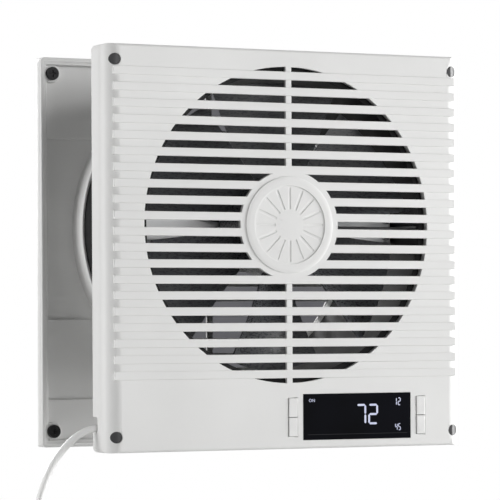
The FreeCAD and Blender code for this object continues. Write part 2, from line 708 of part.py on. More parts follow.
# Front sleeve with the two lugs that carry the motor bracket
sleeve_tube = turned("sleeve_tube", [
    (DUCT, SLEEVE_FRONT),
    (REAR_SLEEVE_OUTER, SLEEVE_FRONT),
    (REAR_SLEEVE_OUTER, LIP_FRONT),
    (SLEEVE_OUTER, LIP_FRONT),
    (SLEEVE_OUTER, "front_sleeve_reach"),
    (DUCT, "front_sleeve_reach"),
])
BRACKET_BACK = "(bracket_front + bracket_wall)"
lugs = []
BRACKET_SPOTS = mirrored_spots(f"{DUCT} - bracket_screw_inset", "bracket_screw_z", "(-bracket_screw_z)")
for side, sign in (("left", "-1"), ("right", "1")):
    ends = (f"{sign} * ({DUCT} - lug_length)", f"{sign} * ({DUCT} + front_sleeve_wall / 2)")
    lug_x = ends if sign == "1" else ends[::-1]
    lugs.append(block(f"lug_{side}", lug_x, (BRACKET_BACK, f"{BRACKET_BACK} + lug_depth"),
                      ("-lug_half_height", "lug_half_height")))
LEAD_HOLE = "(lead_radius + lead_clear)"
lead_slot_y = (f"{LEAD_Y} - {LEAD_HOLE}", f"{LEAD_Y} + lead_bend + {LEAD_HOLE}")
sleeve_holes = [block("sleeve_lead_slot", LEAD_HOLE_X, lead_slot_y, (f"-{LEAD_HOLE}", LEAD_HOLE))]
for i, spot in enumerate(BRACKET_SPOTS):
    sleeve_holes.append(rod(f"lug_hole_{i}", "screw_shank + screw_gap", "y",
                            (BRACKET_BACK, f"{BRACKET_BACK} + screw_bite + fit_gap"), spot))
sleeve_with_lugs = fuse("sleeve_with_lugs", [sleeve_tube] + lugs)
node("front_sleeve", cut("front_sleeve_solid", sleeve_with_lugs, sleeve_holes))

# Motor bracket: a bar with round edges, a disc and the bearing tube
BAR_X = (f"-({DUCT} - bracket_end_gap)", f"{DUCT} - bracket_end_gap")
bar = rounded("bracket_bar", BAR_X, ("bracket_front", BRACKET_BACK),
              ("-bracket_half_height", "bracket_half_height"), "x", "bracket_round", FOUR_CORNERS)
DISC_BACK = "(bracket_front + bracket_disc_wall)"
disc = rod("bracket_disc", "bracket_disc", "y", ("bracket_front", DISC_BACK), ("0", "0"))
TUBE_OUTER = "(bearing_radius + tube_wall)"
tube = rod("bearing_tube", TUBE_OUTER, "y", ("-tube_front", "bracket_front"), ("0", "0"))
BEARING_SEAT = "(bearing_radius + press_gap)"
BEARING_STOP = "(bearing_radius - bearing_shoulder)"
FRONT_SEAT = "(-tube_front + bearing_width)"
REAR_SEAT = "(bracket_front - bearing_width)"
bracket_holes = [
    rod("front_bearing_seat", BEARING_SEAT, "y", ("-tube_front", FRONT_SEAT), ("0", "0")),
    rod("bearing_bore", BEARING_STOP, "y", ("-tube_front", "bracket_front"), ("0", "0")),
    rod("rear_bearing_seat", BEARING_SEAT, "y", (REAR_SEAT, BRACKET_BACK), ("0", "0")),
]
for i, spot in enumerate(BRACKET_SPOTS):
    bracket_span = ("bracket_front", BRACKET_BACK)
    bracket_holes.append(rod(f"bracket_hole_{i}", "screw_shank + screw_gap", "y", bracket_span, spot))
node("motor_bracket", cut("bracket_solid", fuse("bracket_blank", [bar, disc, tube]), bracket_holes))
bracket_screws = []
for i, spot in enumerate(BRACKET_SPOTS):
    bracket_screws.append(screw(f"bracket_screw_{i}", spot, "bracket_screw_head", "screw_shank",
                                "bracket_front", "screw_head_height", "bracket_wall + screw_bite"))
node("bracket_screws", group("bracket_screw_set", bracket_screws))

# Bearings
bearings = []
for name, front in (("front", "(-tube_front)"), ("rear", REAR_SEAT)):
    bearings.append(ring(f"bearing_{name}", "shaft_radius + shaft_gap", "bearing_radius",
                         (front, f"{front} + bearing_width")))
node("ball_bearings", group("bearing_set", bearings))

# Stator: a ring on the bearing tube, teeth with wide tips, and a winding on each tooth
YOKE_OUTER = "(hub_radius - hub_wall - press_gap)"
MAGNET_OUTER = "(hub_radius - hub_wall - 2 * press_gap - yoke_wall)"
MAGNET_BORE = f"({MAGNET_OUTER} - magnet_wall)"
STATOR_OUTER = f"({MAGNET_BORE} - air_gap)"
STATOR_BORE = f"({TUBE_OUTER} + press_gap)"
STATOR_RING = f"({STATOR_BORE} + stator_ring)"
STACK = "(stator_front + stator_back)"
TOOTH_LENGTH = f"({STATOR_OUTER} - tooth_tip / 2 - {STATOR_RING} + stator_ring / 2)"
stator_y = ("-stator_front", "stator_back")
stator_pieces = [ring("stator_ring", STATOR_BORE, STATOR_RING, stator_y)]
windings = []
tips = ring("stator_tips", f"{STATOR_OUTER} - tooth_tip", STATOR_OUTER, stator_y)
tip_gaps = []
for i in range(TEETH):
    tooth = block(f"tooth_{i}", ("0", TOOTH_LENGTH), ("0", STACK), ("0", "tooth_width"))
    gap = block(f"tooth_gap_{i}", ("0", "2 * tooth_tip"), ("0", STACK), ("0", "tooth_gap"))
    coil_length = f"{STATOR_OUTER} - tooth_tip - {STATOR_RING} - press_gap - winding_end_gap"
    coil_outer = block(f"winding_outer_{i}", ("0", coil_length), ("0", f"{STACK} + 2 * winding_overhang"),
                       ("0", "tooth_width + 2 * winding_wall"))
    coil_inner = block(f"winding_inner_{i}", ("0", coil_length), ("0", f"{STACK} + 2 * press_gap"),
                       ("0", "tooth_width + 2 * press_gap"))
    angle, half_angle = 360 * i / TEETH, 360 * (i + 1 / 2) / TEETH
    swing(tooth, angle, f"{STATOR_RING} - stator_ring / 2", "tooth_width", "-stator_front")
    swing(gap, half_angle, f"{STATOR_OUTER} - tooth_tip - tooth_tip / 2", "tooth_gap", "-stator_front")
    start = f"{STATOR_RING} + press_gap"
    swing(coil_outer, angle, start, "tooth_width + 2 * winding_wall", "-stator_front - winding_overhang")
    swing(coil_inner, angle, start, "tooth_width + 2 * press_gap", "-stator_front - press_gap")
    stator_pieces.append(tooth)
    tip_gaps.append(gap)
    windings.append(cut(f"winding_{i}", coil_outer, [coil_inner]))
stator_pieces.append(cut("stator_tip_set", tips, tip_gaps))
node("motor_stator", fuse("stator_solid", stator_pieces))
node("motor_windings", group("winding_set", windings))
BOARD_DISC_FRONT = "(bracket_front - board_wall)"
node("motor_board", ring("motor_board_solid", f"{TUBE_OUTER} + press_gap", "motor_board_radius",
                         (BOARD_DISC_FRONT, "bracket_front")))

# Rotor: yoke, magnet, shaft and circlip
CAP_INSIDE = "(hub_cap - hub_front)"
node("rotor_yoke", turned("yoke_solid", [
    ("shaft_radius + press_gap", CAP_INSIDE),
    (YOKE_OUTER, CAP_INSIDE),
    (YOKE_OUTER, "yoke_back"),
    (f"{YOKE_OUTER} - yoke_wall", "yoke_back"),
    (f"{YOKE_OUTER} - yoke_wall", f"{CAP_INSIDE} + yoke_wall"),
    ("shaft_radius + press_gap", f"{CAP_INSIDE} + yoke_wall"),
]))
MAGNET_FRONT = f"({CAP_INSIDE} + yoke_wall + magnet_inset)"
magnet_y = (MAGNET_FRONT, f"{MAGNET_FRONT} + magnet_length")
node("rotor_magnet", ring("magnet_solid", MAGNET_BORE, MAGNET_OUTER, magnet_y))
CLIP_FRONT = "(bracket_front + clip_play)"
shaft_y = (CAP_INSIDE, f"{CLIP_FRONT} + clip_wall + shaft_end")
node("motor_shaft", rod("shaft_solid", "shaft_radius", "y", shaft_y, ("0", "0")))
node("shaft_circlip", ring("circlip_solid", "shaft_radius + press_gap", "clip_radius",
                           (CLIP_FRONT, f"{CLIP_FRONT} + clip_wall")))

# Impeller: a cup and six broad twisted blades
hub = turned("impeller_hub", [
    ("0", "-hub_front"),
    ("hub_radius", "-hub_front"),
    ("hub_radius", "hub_back"),
    ("hub_radius - hub_wall", "hub_back"),
    ("hub_radius - hub_wall", CAP_INSIDE),
    ("0", CAP_INSIDE),
])


def blade_section(x, share):
    """A thin curved section across a blade, at a share of the way from root to tip."""
    chord = sheet.blade_root_chord + share * (sheet.blade_tip_chord - sheet.blade_root_chord)
    pitch = math.radians(sheet.blade_root_pitch + share * (sheet.blade_tip_pitch - sheet.blade_root_pitch))
    along = Vector(0, math.sin(pitch), math.cos(pitch))
    across = Vector(0, math.cos(pitch), -math.sin(pitch))
    edge = sheet.blade_wall / 4
    crown = sheet.blade_camber * chord
    corners = [Vector(x, 0, 0) + along * (chord / 2 * a) + across * (edge * b)
               for a, b in ((-1, 1), (1, 1), (1, -1), (-1, -1))]
    top = Vector(x, 0, 0) + across * (crown + sheet.blade_wall / 2)
    under = Vector(x, 0, 0) + across * (crown - sheet.blade_wall / 2)
    return Part.Wire([
        Part.Arc(corners[0], top, corners[1]).toShape(),
        Part.LineSegment(corners[1], corners[2]).toShape(),
        Part.Arc(corners[2], under, corners[3]).toShape(),
        Part.LineSegment(corners[3], corners[0]).toShape(),
    ])


blade_inner = sheet.hub_radius - sheet.hub_wall / 2
blade_radius = number(f"{DUCT} - blade_gap")
blade_outer = blade_radius + sheet.blade_wall
blade_reach = blade_outer - blade_inner
sections = [blade_section(blade_inner + share * blade_reach, share) for share in BLADE_SHARES]
blade_loft = Part.makeLoft(sections, True, False)
trim_start = Vector(0, -sheet.blade_tip_chord, 0)
trim_length = 2 * sheet.blade_tip_chord
trim_ring = Part.makeCylinder(blade_radius, trim_length, trim_start, Vector(0, 1, 0))
trim_core = Part.makeCylinder(blade_inner, trim_length, trim_start, Vector(0, 1, 0))
blade_shape = blade_loft.common(trim_ring).cut(trim_core)
impeller_pieces = [hub]
for i in range(BLADES):
    blade = shaped(f"blade_{i}", blade_shape)
    blade.Placement = FreeCAD.Placement(Vector(), FreeCAD.Rotation(Vector(0, 1, 0), 360 * (i + 0.5) / BLADES))
    impeller_pieces.append(blade)
node("impeller", fuse("impeller_solid", impeller_pieces))

# Rear tray: rim, four floors at their depths, screw bosses, ejector marks, duct collar and its apron
RIM = "wall_gap"
RIM_BACK = "(wall_gap + rim_depth)"
PAN_START = "(wall_gap + rim_step)"
rim_blank = rounded("rim_blank", panel_x, (RIM, RIM_BACK), panel_z, "y", "corner_round", FOUR_CORNERS)
rim_opening = block("rim_opening", (f"{LEFT} + rim_wall", f"{RIGHT} - rim_wall"),
                    (f"{RIM} - rim_depth", PAN_START), (f"{BOTTOM} + rim_wall", f"{TOP} - rim_wall"))
CELLS = [
    ("top_floor", "top_step", f"({TOP} - pan_inset)"),
    ("middle_floor", "(-middle_step)", "top_step"),
    ("low_floor", "(-low_step)", "(-middle_step)"),
    ("foot_floor", f"({BOTTOM} + pan_inset)", "(-low_step)"),
]
pan_x = (f"{LEFT} + pan_inset", f"{RIGHT} - pan_inset")
pans, pan_rooms = [rim_blank], [rim_opening]
for depth, low, high in CELLS:
    floor = f"{RIM} + {depth}"
    pans.append(block(f"pan_{depth}", (f"{pan_x[0]} - pan_wall", f"{pan_x[1]} + pan_wall"),
                      (PAN_START, f"{floor} + pan_wall"), (f"{low} - pan_wall", f"{high} + pan_wall")))
    pan_rooms.append(block(f"room_{depth}", pan_x, (f"{RIM} - rim_depth", floor), (low, high)))
HEAD_SEAT = "(wall_gap + tray_head_sink + tray_head_height)"
PAN_BACK = "(wall_gap + top_floor + pan_wall)"
tray_bosses, tray_holes = [], []
for i, spot in enumerate(TRAY_SPOTS):
    tray_bosses.append(rod(f"tray_boss_{i}", "tray_boss", "y", (HEAD_SEAT, PAN_BACK), spot))
    hole_span = (RIM, f"{PAN_BACK} + pan_wall")
    tray_holes.append(rod(f"tray_hole_{i}", "tray_shank + screw_gap", "y", hole_span, spot))
    tray_holes.append(rod(f"tray_head_room_{i}", "tray_head + fit_gap", "y", (RIM, HEAD_SEAT), spot))
SLEEVE_STOP = "(wall_gap + rear_seat_depth)"
MIDDLE_FLOOR = "(wall_gap + middle_floor)"
rear_collar = turned("rear_collar", [
    (COLLAR_BORE, "wall_gap - rear_collar_reach"),
    (COLLAR_OUTER, "wall_gap - rear_collar_reach"),
    (COLLAR_OUTER, f"{MIDDLE_FLOOR} + pan_wall"),
    (REAR_SLEEVE_BORE, f"{MIDDLE_FLOOR} + pan_wall"),
    (REAR_SLEEVE_BORE, SLEEVE_STOP),
    (COLLAR_BORE, SLEEVE_STOP),
])
apron_ring = turned("apron_ring", [
    (COLLAR_BORE, f"{MIDDLE_FLOOR} - apron_rise"),
    (COLLAR_OUTER, f"{MIDDLE_FLOOR} - apron_rise"),
    (f"{COLLAR_OUTER} + apron_width", MIDDLE_FLOOR),
    (f"{COLLAR_OUTER} + apron_width", f"{MIDDLE_FLOOR} + pan_wall"),
    (COLLAR_BORE, f"{MIDDLE_FLOOR} + pan_wall"),
])
apron_y = (RIM, f"{MIDDLE_FLOOR} + pan_wall")
apron_limit = block("apron_limit", pan_x, apron_y, ("-middle_step", "top_step"))
apron = common("apron", [apron_ring, apron_limit])
duct_hole_y = (f"{RIM} - rim_depth", f"{MIDDLE_FLOOR} + rim_depth")
duct_hole = rod("tray_duct_hole", COLLAR_BORE, "y", duct_hole_y, ("0", "0"))
tray_shell = cut("tray_shell", fuse("tray_blank", pans), pan_rooms)
tray_with_bosses = fuse("tray_with_bosses", [tray_shell] + tray_bosses)
tray_open = cut("tray_open", tray_with_bosses, tray_holes + [duct_hole])
marks = []
mark_y = (MIDDLE_FLOOR, f"{MIDDLE_FLOOR} + mark_depth")
for i, spot in enumerate(mirrored_spots("mark_x", "mark_z", "(-mark_z)")):
    marks.append(rod(f"ejector_mark_{i}", "mark_radius", "y", mark_y, spot))
tray_with_collar = fuse("tray_with_collar", [tray_open, rear_collar, apron])
node("rear_base", cut("rear_base_solid", tray_with_collar, marks))
tray_screws = []
for i, spot in enumerate(TRAY_SPOTS):
    body = screw(f"tray_screw_{i}", spot, "tray_head", "tray_shank", HEAD_SEAT, "tray_head_height",
                 f"{PAN_BACK} - {HEAD_SEAT} + tray_bite")
    recess_y = (f"{HEAD_SEAT} - tray_head_height", f"{HEAD_SEAT} - tray_head_height + recess_depth")
    x, z = spot
    slots = []
    for wide, tall in (("recess_length", "recess_width"), ("recess_width", "recess_length")):
        slots.append(block(f"tray_{wide}_{i}", (f"{x} - {wide} / 2", f"{x} + {wide} / 2"), recess_y,
                           (f"{z} - {tall} / 2", f"{z} + {tall} / 2")))
    tray_screws.append(cut(f"tray_screw_cut_{i}", body, slots))
node("rear_screws", group("rear_screw_set", tray_screws))
node("rear_sleeve", ring("rear_sleeve_solid", REAR_SLEEVE_BORE, REAR_SLEEVE_OUTER,
                         ("wall_gap - rear_sleeve_reach", SLEEVE_STOP)))

# Rear cover: a louvred shell behind the tray
REAR_FACE = "(wall_gap + rear_depth)"
REAR_INNER = "(wall_gap + rear_depth - shell_wall)"
rear_y = (RIM_BACK, REAR_FACE)
rear_sides = rounded("rear_sides", panel_x, rear_y, panel_z, "z", "rear_round", [(0, 1), (1, 1)])
rear_plan = rounded("rear_plan", panel_x, rear_y, panel_z, "y", "corner_round", FOUR_CORNERS)
rear_lips = rounded("rear_lips", panel_x, rear_y, panel_z, "x", "edge_round", [(1, 0), (1, 1)])
rear_outer = common("rear_outer", [rear_sides, rear_plan, rear_lips])
rear_hollow = rounded("rear_hollow", inner_x, (f"{RIM_BACK} - shell_wall", REAR_INNER), inner_z, "z",
                      "(rear_round - shell_wall)", [(0, 1), (1, 1)])
rear_shell = cut("rear_shell", rear_outer, [rear_hollow])
rear_additions = louvre_ribs("rear_rib", (f"{REAR_FACE} - rib_root", f"{REAR_FACE} + rib_relief"))
rear_pad_y = (REAR_INNER, f"{REAR_FACE} + rib_relief")
rear_additions.append(rod("rear_pad", "pad_radius", "y", rear_pad_y, ("0", "0")))
for i, spot in enumerate(TRAY_SPOTS):
    rear_boss_y = (PAN_BACK, f"{REAR_INNER} + shell_wall / 2")
    rear_additions.append(rod(f"rear_boss_{i}", "cover_boss", "y", rear_boss_y, spot))
rear_openings = [louvre_slots("rear_slot", (f"{REAR_INNER} - shell_wall", f"{REAR_FACE} + shell_wall"))]
for i, spot in enumerate(TRAY_SPOTS):
    bite = (PAN_BACK, f"{PAN_BACK} + tray_bite + fit_gap")
    rear_openings.append(rod(f"rear_boss_hole_{i}", "tray_shank + screw_gap", "y", bite, spot))
rear_blank = fuse("rear_cover_blank", [rear_shell] + rear_additions)
node("rear_cover", cut("rear_cover_solid", rear_blank, rear_openings))

# Strain relief of the cord
gland = fuse("gland_solid", [
    cone("gland_boot", "gland_base", "gland_tip", "gland_length", "-x", (HOOD_LEFT, CORD_Y, CORD_Z)),
    rod("gland_neck", "gland_neck", "x", (HOOD_LEFT, HOOD_INSIDE), (CORD_Y, CORD_Z)),
    block("gland_flange", (HOOD_INSIDE, f"{HOOD_INSIDE} + gland_flange_wall"),
          (f"{CORD_Y} - gland_flange", f"{CORD_Y} + gland_neck"),
          (f"{CORD_Z} - gland_flange", f"{CORD_Z} + gland_flange")),
])
node("cord_gland", gland)


def routed_tube(points, radius, largest_bend=None):
    """A tube along straight runs joined by tangent arcs, and the arcs' radii."""
    edges, bends = [], []
    start = points[0]
    for before, corner, after in zip(points, points[1:], points[2:]):
        inward, onward = corner - before, after - corner
        half_turn = inward.getAngle(onward) / 2
        bend = ARC_SHARE * min(inward.Length, onward.Length) / math.tan(half_turn)
        if largest_bend:
            bend = min(bend, largest_bend)
        back = bend * math.tan(half_turn)
        first = corner - inward.normalize() * back
        last = corner + onward.normalize() * back
        middle_way = ((first + last) / 2 - corner).normalize()
        middle = corner + middle_way * (bend / math.cos(half_turn) - bend)
        edges.append(Part.LineSegment(start, first).toShape())
        edges.append(Part.Arc(first, middle, last).toShape())
        bends.append(bend)
        start = last
    edges.append(Part.LineSegment(start, points[-1]).toShape())
    path = Part.Wire(edges)
    return swept(path, radius), path, bends


def swept(path, radius):
    """A round tube along a wire."""
    first = path.Edges[0]
    start = first.valueAt(first.FirstParameter)
    circle = Part.Wire(Part.Circle(start, first.tangentAt(first.FirstParameter), radius).toShape())
    return path.makePipeShell([circle], True, False)


def report_tube(name, shape, path, radius):
    """Print a tube's volume against its section times its length."""
    print(f"{name}: length {path.Length:.1f} mm, volume ratio "
          f"{shape.Volume / (math.pi * radius ** 2 * path.Length):.4f}")


# Inner leads
LEAD_WALL_X = f"({DUCT} - lead_radius - lead_clear)"
BAR_LEAD_Y = "(bracket_front - lead_radius - press_gap)"
LEAD_DOWN_X = f"({RIGHT} - lead_right)"
lead_points = [Vector(*(number(text) for text in spot)) for spot in (
    ("motor_board_radius", BAR_LEAD_Y, "0"),
    (LEAD_WALL_X, BAR_LEAD_Y, "0"),
    (LEAD_WALL_X, LEAD_Y, "0"),
    (LEAD_DOWN_X, LEAD_Y, "0"),
    (LEAD_DOWN_X, LEAD_Y, LEAD_Z),
    (board_x[1], LEAD_Y, LEAD_Z),
)]
lead_shape, lead_path, lead_bends = routed_tube(lead_points, sheet.lead_radius, sheet.lead_bend)
report_tube("motor_lead", lead_shape, lead_path, sheet.lead_radius)
node("motor_lead", shaped("motor_lead_solid", lead_shape))
SUPPLY_START = f"({HOOD_INSIDE} + gland_flange_wall)"
SUPPLY_Y = f"({PLATE_FRONT} - supply_radius - supply_clear)"
GLAND_LEAD_Y = f"({CORD_Y} - gland_neck)"
supply_points = [Vector(*(number(text) for text in spot)) for spot in (
    (SUPPLY_START, GLAND_LEAD_Y, CORD_Z),
    (f"{SUPPLY_START} + hood_length / 4", GLAND_LEAD_Y, CORD_Z),
    (f"{HOOD_RIGHT} - hood_length / 3", SUPPLY_Y, CORD_Z),
    (SUPPLY_END, SUPPLY_Y, CORD_Z),
)]
supply_shape, supply_path, supply_bends = routed_tube(supply_points, sheet.supply_radius)
report_tube("supply_lead", supply_shape, supply_path, sheet.supply_radius)
node("supply_lead", shaped("supply_lead_solid", supply_shape))

# Power cord: from the strain relief through the notch, then down to the coil
cord_y = number(CORD_Y)
CORD_ROUTE = [
    (-126.0, -130.2),
    (-137.3, -130.2),
    (-147.8, -135.2),
    (-156.5, -144.3),
    (-163.5, -156.5),
    (-168.5, -170.5),
    (-171.3, -184.5),
    (-172.0, -198.5),
    (-172.0, -211.0),
]
cord_points = [Vector(x, cord_y, z) for x, z in CORD_ROUTE]
cord_shape, cord_path, cord_bends = routed_tube(cord_points, sheet.cord_radius)
report_tube("power_cord", cord_shape, cord_path, sheet.cord_radius)
print("power_cord bend radii:", [round(bend, 1) for bend in cord_bends])
node("power_cord", shaped("power_cord_solid", cord_shape))

# Coil: half turns between points left and right of its middle, spiralling in and out, layer by layer
coil_lead = 2 * sheet.cord_radius
coil_middle_x = CORD_ROUTE[-1][0] + sheet.coil_outer
coil_middle_z = CORD_ROUTE[-1][1] - coil_lead


def coil_stops():
    """The ends of the half turns, as (radius from the middle, layer)."""
    stops = [(sheet.coil_outer, 0)]
    for layer in range(COIL_LAYERS):
        step = -sheet.coil_step if layer % 2 == 0 else sheet.coil_step
        last = layer == COIL_LAYERS - 1
        for _ in range(COIL_HALF_TURNS_PER_LAYER + last):
            stops.append((stops[-1][0] + step, layer))
        if not last:
            stops.append((stops[-1][0], layer + 1))
    return stops


coil_points = []
for i, (radius, layer) in enumerate(coil_stops()):
    side = -1 if i % 2 == 0 else 1
    layer_y = cord_y - layer * sheet.coil_layer_pitch
    coil_points.append(Vector(coil_middle_x + side * radius, layer_y, coil_middle_z))
coil_start = coil_points[0] + Vector(0, 0, coil_lead)
coil_end = coil_points[-1] - Vector(0, 0, sheet.coil_tail)
coil_edges = [Part.LineSegment(coil_start, coil_points[0]).toShape()]
for i, (start, end) in enumerate(zip(coil_points, coil_points[1:])):
    upward = -1 if i % 2 == 0 else 1
    crest = (start + end) / 2 + Vector(0, 0, upward * (end - start).Length / 2)
    coil_edges.append(Part.Arc(start, crest, end).toShape())
coil_edges.append(Part.LineSegment(coil_points[-1], coil_end).toShape())
coil_path = Part.Wire(coil_edges)
coil_shape = swept(coil_path, sheet.cord_radius)
report_tube("cord_coil", coil_shape, coil_path, sheet.cord_radius)
samples = coil_path.discretize(Number=COIL_SAMPLES)
apart = int(NEIGHBOUR_DIAMETERS * 2 * sheet.cord_radius / (coil_path.Length / COIL_SAMPLES)) + 1
least = min((first - later).Length for i, first in enumerate(samples) for later in samples[i + apart:])
print(f"cord_coil least gap to itself: {least - 2 * sheet.cord_radius:.2f} mm")
node("cord_coil", shaped("cord_coil_solid", coil_shape))

# Tie: a flat strap round the coil's turns at the top
coil_inner_radius = sheet.coil_outer - COIL_HALF_TURNS_PER_LAYER * sheet.coil_step
bundle_low = coil_inner_radius - sheet.cord_radius - sheet.tie_slack
bundle_high = sheet.coil_outer + sheet.coil_step / 2 + sheet.cord_radius
bundle_front = cord_y - (COIL_LAYERS - 1) * sheet.coil_layer_pitch - sheet.cord_radius
bundle_depth = cord_y + sheet.cord_radius - bundle_front


def strap_box(grow):
    """A box round the coil's turns at the top, with room on every side of the strap."""
    corner = Vector(coil_middle_x - sheet.tie_width / 2, bundle_front - grow,
                    coil_middle_z + bundle_low - grow)
    return Part.makeBox(sheet.tie_width, bundle_depth + 2 * grow, bundle_high - bundle_low + 2 * grow, corner)


strap = strap_box(sheet.tie_clear + sheet.tie_wall).cut(strap_box(sheet.tie_clear))
node("cord_tie", shaped("cord_tie_solid", strap))

# Plug: a boot, a round-edged body and two blades, hanging on the cord's end
PLUG_TOP = f"({coil_end.z} - plug_boot_length)"
PLUG_FOOT = f"({PLUG_TOP} - plug_length)"
plug_x = (f"{coil_end.x} - plug_width / 2", f"{coil_end.x} + plug_width / 2")
plug_y = (f"{coil_end.y} - plug_thick / 2", f"{coil_end.y} + plug_thick / 2")
plug_boot = cone("plug_boot", "gland_tip", "plug_boot_radius", "plug_boot_length", "-z",
                 (str(coil_end.x), str(coil_end.y), str(coil_end.z)))
plug_block = rounded("plug_block", plug_x, plug_y, (PLUG_FOOT, PLUG_TOP), "z", "plug_round", FOUR_CORNERS)
node("plug_body", fuse("plug_body_solid", [plug_boot, plug_block]))
plug_blades = []
for side, sign in (("left", "-1"), ("right", "1")):
    x = f"({coil_end.x} + {sign} * blade_spread / 2)"
    plug_blades.append(block(f"plug_blade_{side}", (f"{x} - blade_thin / 2", f"{x} + blade_thin / 2"),
                             (f"{coil_end.y} - blade_wide / 2", f"{coil_end.y} + blade_wide / 2"),
                             (f"{PLUG_FOOT} - blade_long", PLUG_FOOT)))
node("plug_blades", group("plug_blade_set", plug_blades))

# Check every piece, then write it
doc.recompute()
for obj in doc.Objects:
    if "Invalid" in obj.State or "Error" in obj.State:
        raise RuntimeError(f"{obj.Name} failed: {obj.State}")
for obj in nodes:
    if obj.Shape.isNull() or not obj.Shape.isValid():
        raise RuntimeError(f"{obj.Label} has no valid shape")
os.makedirs("parts", exist_ok=True)
for obj in nodes:
    obj.Shape.exportStep(f"parts/{obj.Label}.step")
print(len(nodes), "pieces")
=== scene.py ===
# %% [markdown]
# A room to room fan. Two square louvred units sit back to back on the two sides of a wall, and a black
# duct of two sleeves joins them through it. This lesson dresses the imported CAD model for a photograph:
# it keeps every rigid piece where the model has it, eases the edges, lays the mains cord, lights the
# display and gives each surface the finish of its real material. Places in the scene are in metres,
# small sizes on a piece are in millimetres where the text says so, and angles are in degrees.

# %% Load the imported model
import json
import math
import bmesh
import bpy
import numpy as np
from mathutils import Euler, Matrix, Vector


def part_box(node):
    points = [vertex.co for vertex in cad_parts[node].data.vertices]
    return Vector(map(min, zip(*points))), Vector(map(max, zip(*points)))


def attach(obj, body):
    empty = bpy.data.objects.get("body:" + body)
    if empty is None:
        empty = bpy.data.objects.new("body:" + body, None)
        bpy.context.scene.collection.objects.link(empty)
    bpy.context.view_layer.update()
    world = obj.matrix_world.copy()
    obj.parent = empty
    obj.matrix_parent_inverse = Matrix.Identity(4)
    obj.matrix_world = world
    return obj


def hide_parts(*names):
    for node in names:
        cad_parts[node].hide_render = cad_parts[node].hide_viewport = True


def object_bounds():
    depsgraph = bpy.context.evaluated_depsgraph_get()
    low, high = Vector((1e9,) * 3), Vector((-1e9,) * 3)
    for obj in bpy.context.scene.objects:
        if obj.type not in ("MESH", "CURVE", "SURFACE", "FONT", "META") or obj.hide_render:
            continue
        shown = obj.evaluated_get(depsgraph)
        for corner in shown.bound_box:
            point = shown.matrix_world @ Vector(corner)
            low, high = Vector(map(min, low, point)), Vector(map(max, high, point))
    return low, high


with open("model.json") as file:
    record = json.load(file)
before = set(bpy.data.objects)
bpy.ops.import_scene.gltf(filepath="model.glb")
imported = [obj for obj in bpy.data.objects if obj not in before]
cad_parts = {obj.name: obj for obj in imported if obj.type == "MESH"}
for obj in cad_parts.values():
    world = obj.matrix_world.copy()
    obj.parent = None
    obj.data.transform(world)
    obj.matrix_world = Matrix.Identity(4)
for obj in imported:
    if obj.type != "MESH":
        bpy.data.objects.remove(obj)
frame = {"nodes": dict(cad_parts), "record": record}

cad_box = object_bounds()
MM = 0.001
slot_of = {part["node"]: part["material_slot"] for part in frame["record"]["subparts"]}
body_of = {node: body for body, nodes in frame["record"]["behaviour"]["bodies"].items() for node in nodes}


def put(name, data):
    """A new object for a mesh, curve, lamp or camera, linked into the scene."""
    obj = bpy.data.objects.new(name, data)
    bpy.context.scene.collection.objects.link(obj)
    return obj


# %% [markdown]
# The camera comes first, because it decides what shows. The photograph was taken with a long lens from
# the left and a little below the middle, so upright edges stay upright. A lens that is kept level and
# shifted upwards gives that. Tilting the camera instead would make the uprights lean.

# %% Camera
CAMERA_SPOT = (-0.8493, -1.7045, -0.0657)
CAMERA_YAW = 26.0
CAMERA_ROLL = -0.271
LENS = 208.26
SENSOR = 36.0
RISE = 0.152

camera_data = bpy.data.cameras.new("camera")
camera_data.lens = LENS
camera_data.sensor_width = SENSOR
camera_data.shift_y = RISE
camera = put("camera", camera_data)
camera.location = CAMERA_SPOT
level = Euler((math.radians(90), 0, math.radians(-CAMERA_YAW))).to_matrix()
roll = Euler((0, 0, math.radians(CAMERA_ROLL))).to_matrix()
camera.rotation_euler = (level @ roll).to_euler()
bpy.context.scene.camera = camera
bpy.context.scene.view_settings.view_transform = "Standard"
print("camera looks along", [round(v, 3) for v in level @ Vector((0, 0, -1))])

# %% [markdown]
# Next, the mains cord. It is a white round lead of 4.4 mm that leaves a notch low in the left side,
# bends under its own weight and hangs. Its spare length is wound into a flat coil of four layers, tied
# with a strap, and the plug hangs from the coil's outer turn. One NURBS curve can be all of it: the
# route's points are its control points, and a loop adds the turns. Such a curve runs inside its control
# points, so the turns' points are set a little further out. The thickness is given as each point's own
# radius on a bevel of one, because Blender widens a curve's box by that radius.

# %% Cord route and coil
CORD_RADIUS = 0.0022
CORD_Y = -0.004
ROUTE = [
    (-0.1260, -0.1302),
    (-0.1330, -0.1304),
    (-0.1425, -0.1347),
    (-0.1518, -0.1427),
    (-0.1603, -0.1540),
    (-0.1666, -0.1680),
    (-0.1705, -0.1830),
    (-0.1720, -0.1980),
    (-0.1720, -0.2110),
]
COIL_OUTER = 0.030
COIL_STEP = 0.0029
COIL_PITCH = 0.0057
COIL_LAYERS = 4
HALF_TURNS = 5
POINTS_PER_HALF_TURN = 8
COIL_TAIL = 0.025
TAIL_STOPS = (0.2, 1.0)
coil_middle = np.array([ROUTE[-1][0] + COIL_OUTER, CORD_Y, ROUTE[-1][1] - 2 * CORD_RADIUS])


def coil_stops():
    """The ends of the half turns: radius shrinks layer in, grows layer out, and stays on a climb."""
    stops = [(COIL_OUTER, 0)]
    for layer in range(COIL_LAYERS):
        step = -COIL_STEP if layer % 2 == 0 else COIL_STEP
        last = layer == COIL_LAYERS - 1
        stops += [(stops[-1][0] + step * (k + 1), layer) for k in range(HALF_TURNS + last)]
        if not last:
            stops.append((stops[-1][0], layer + 1))
    return stops


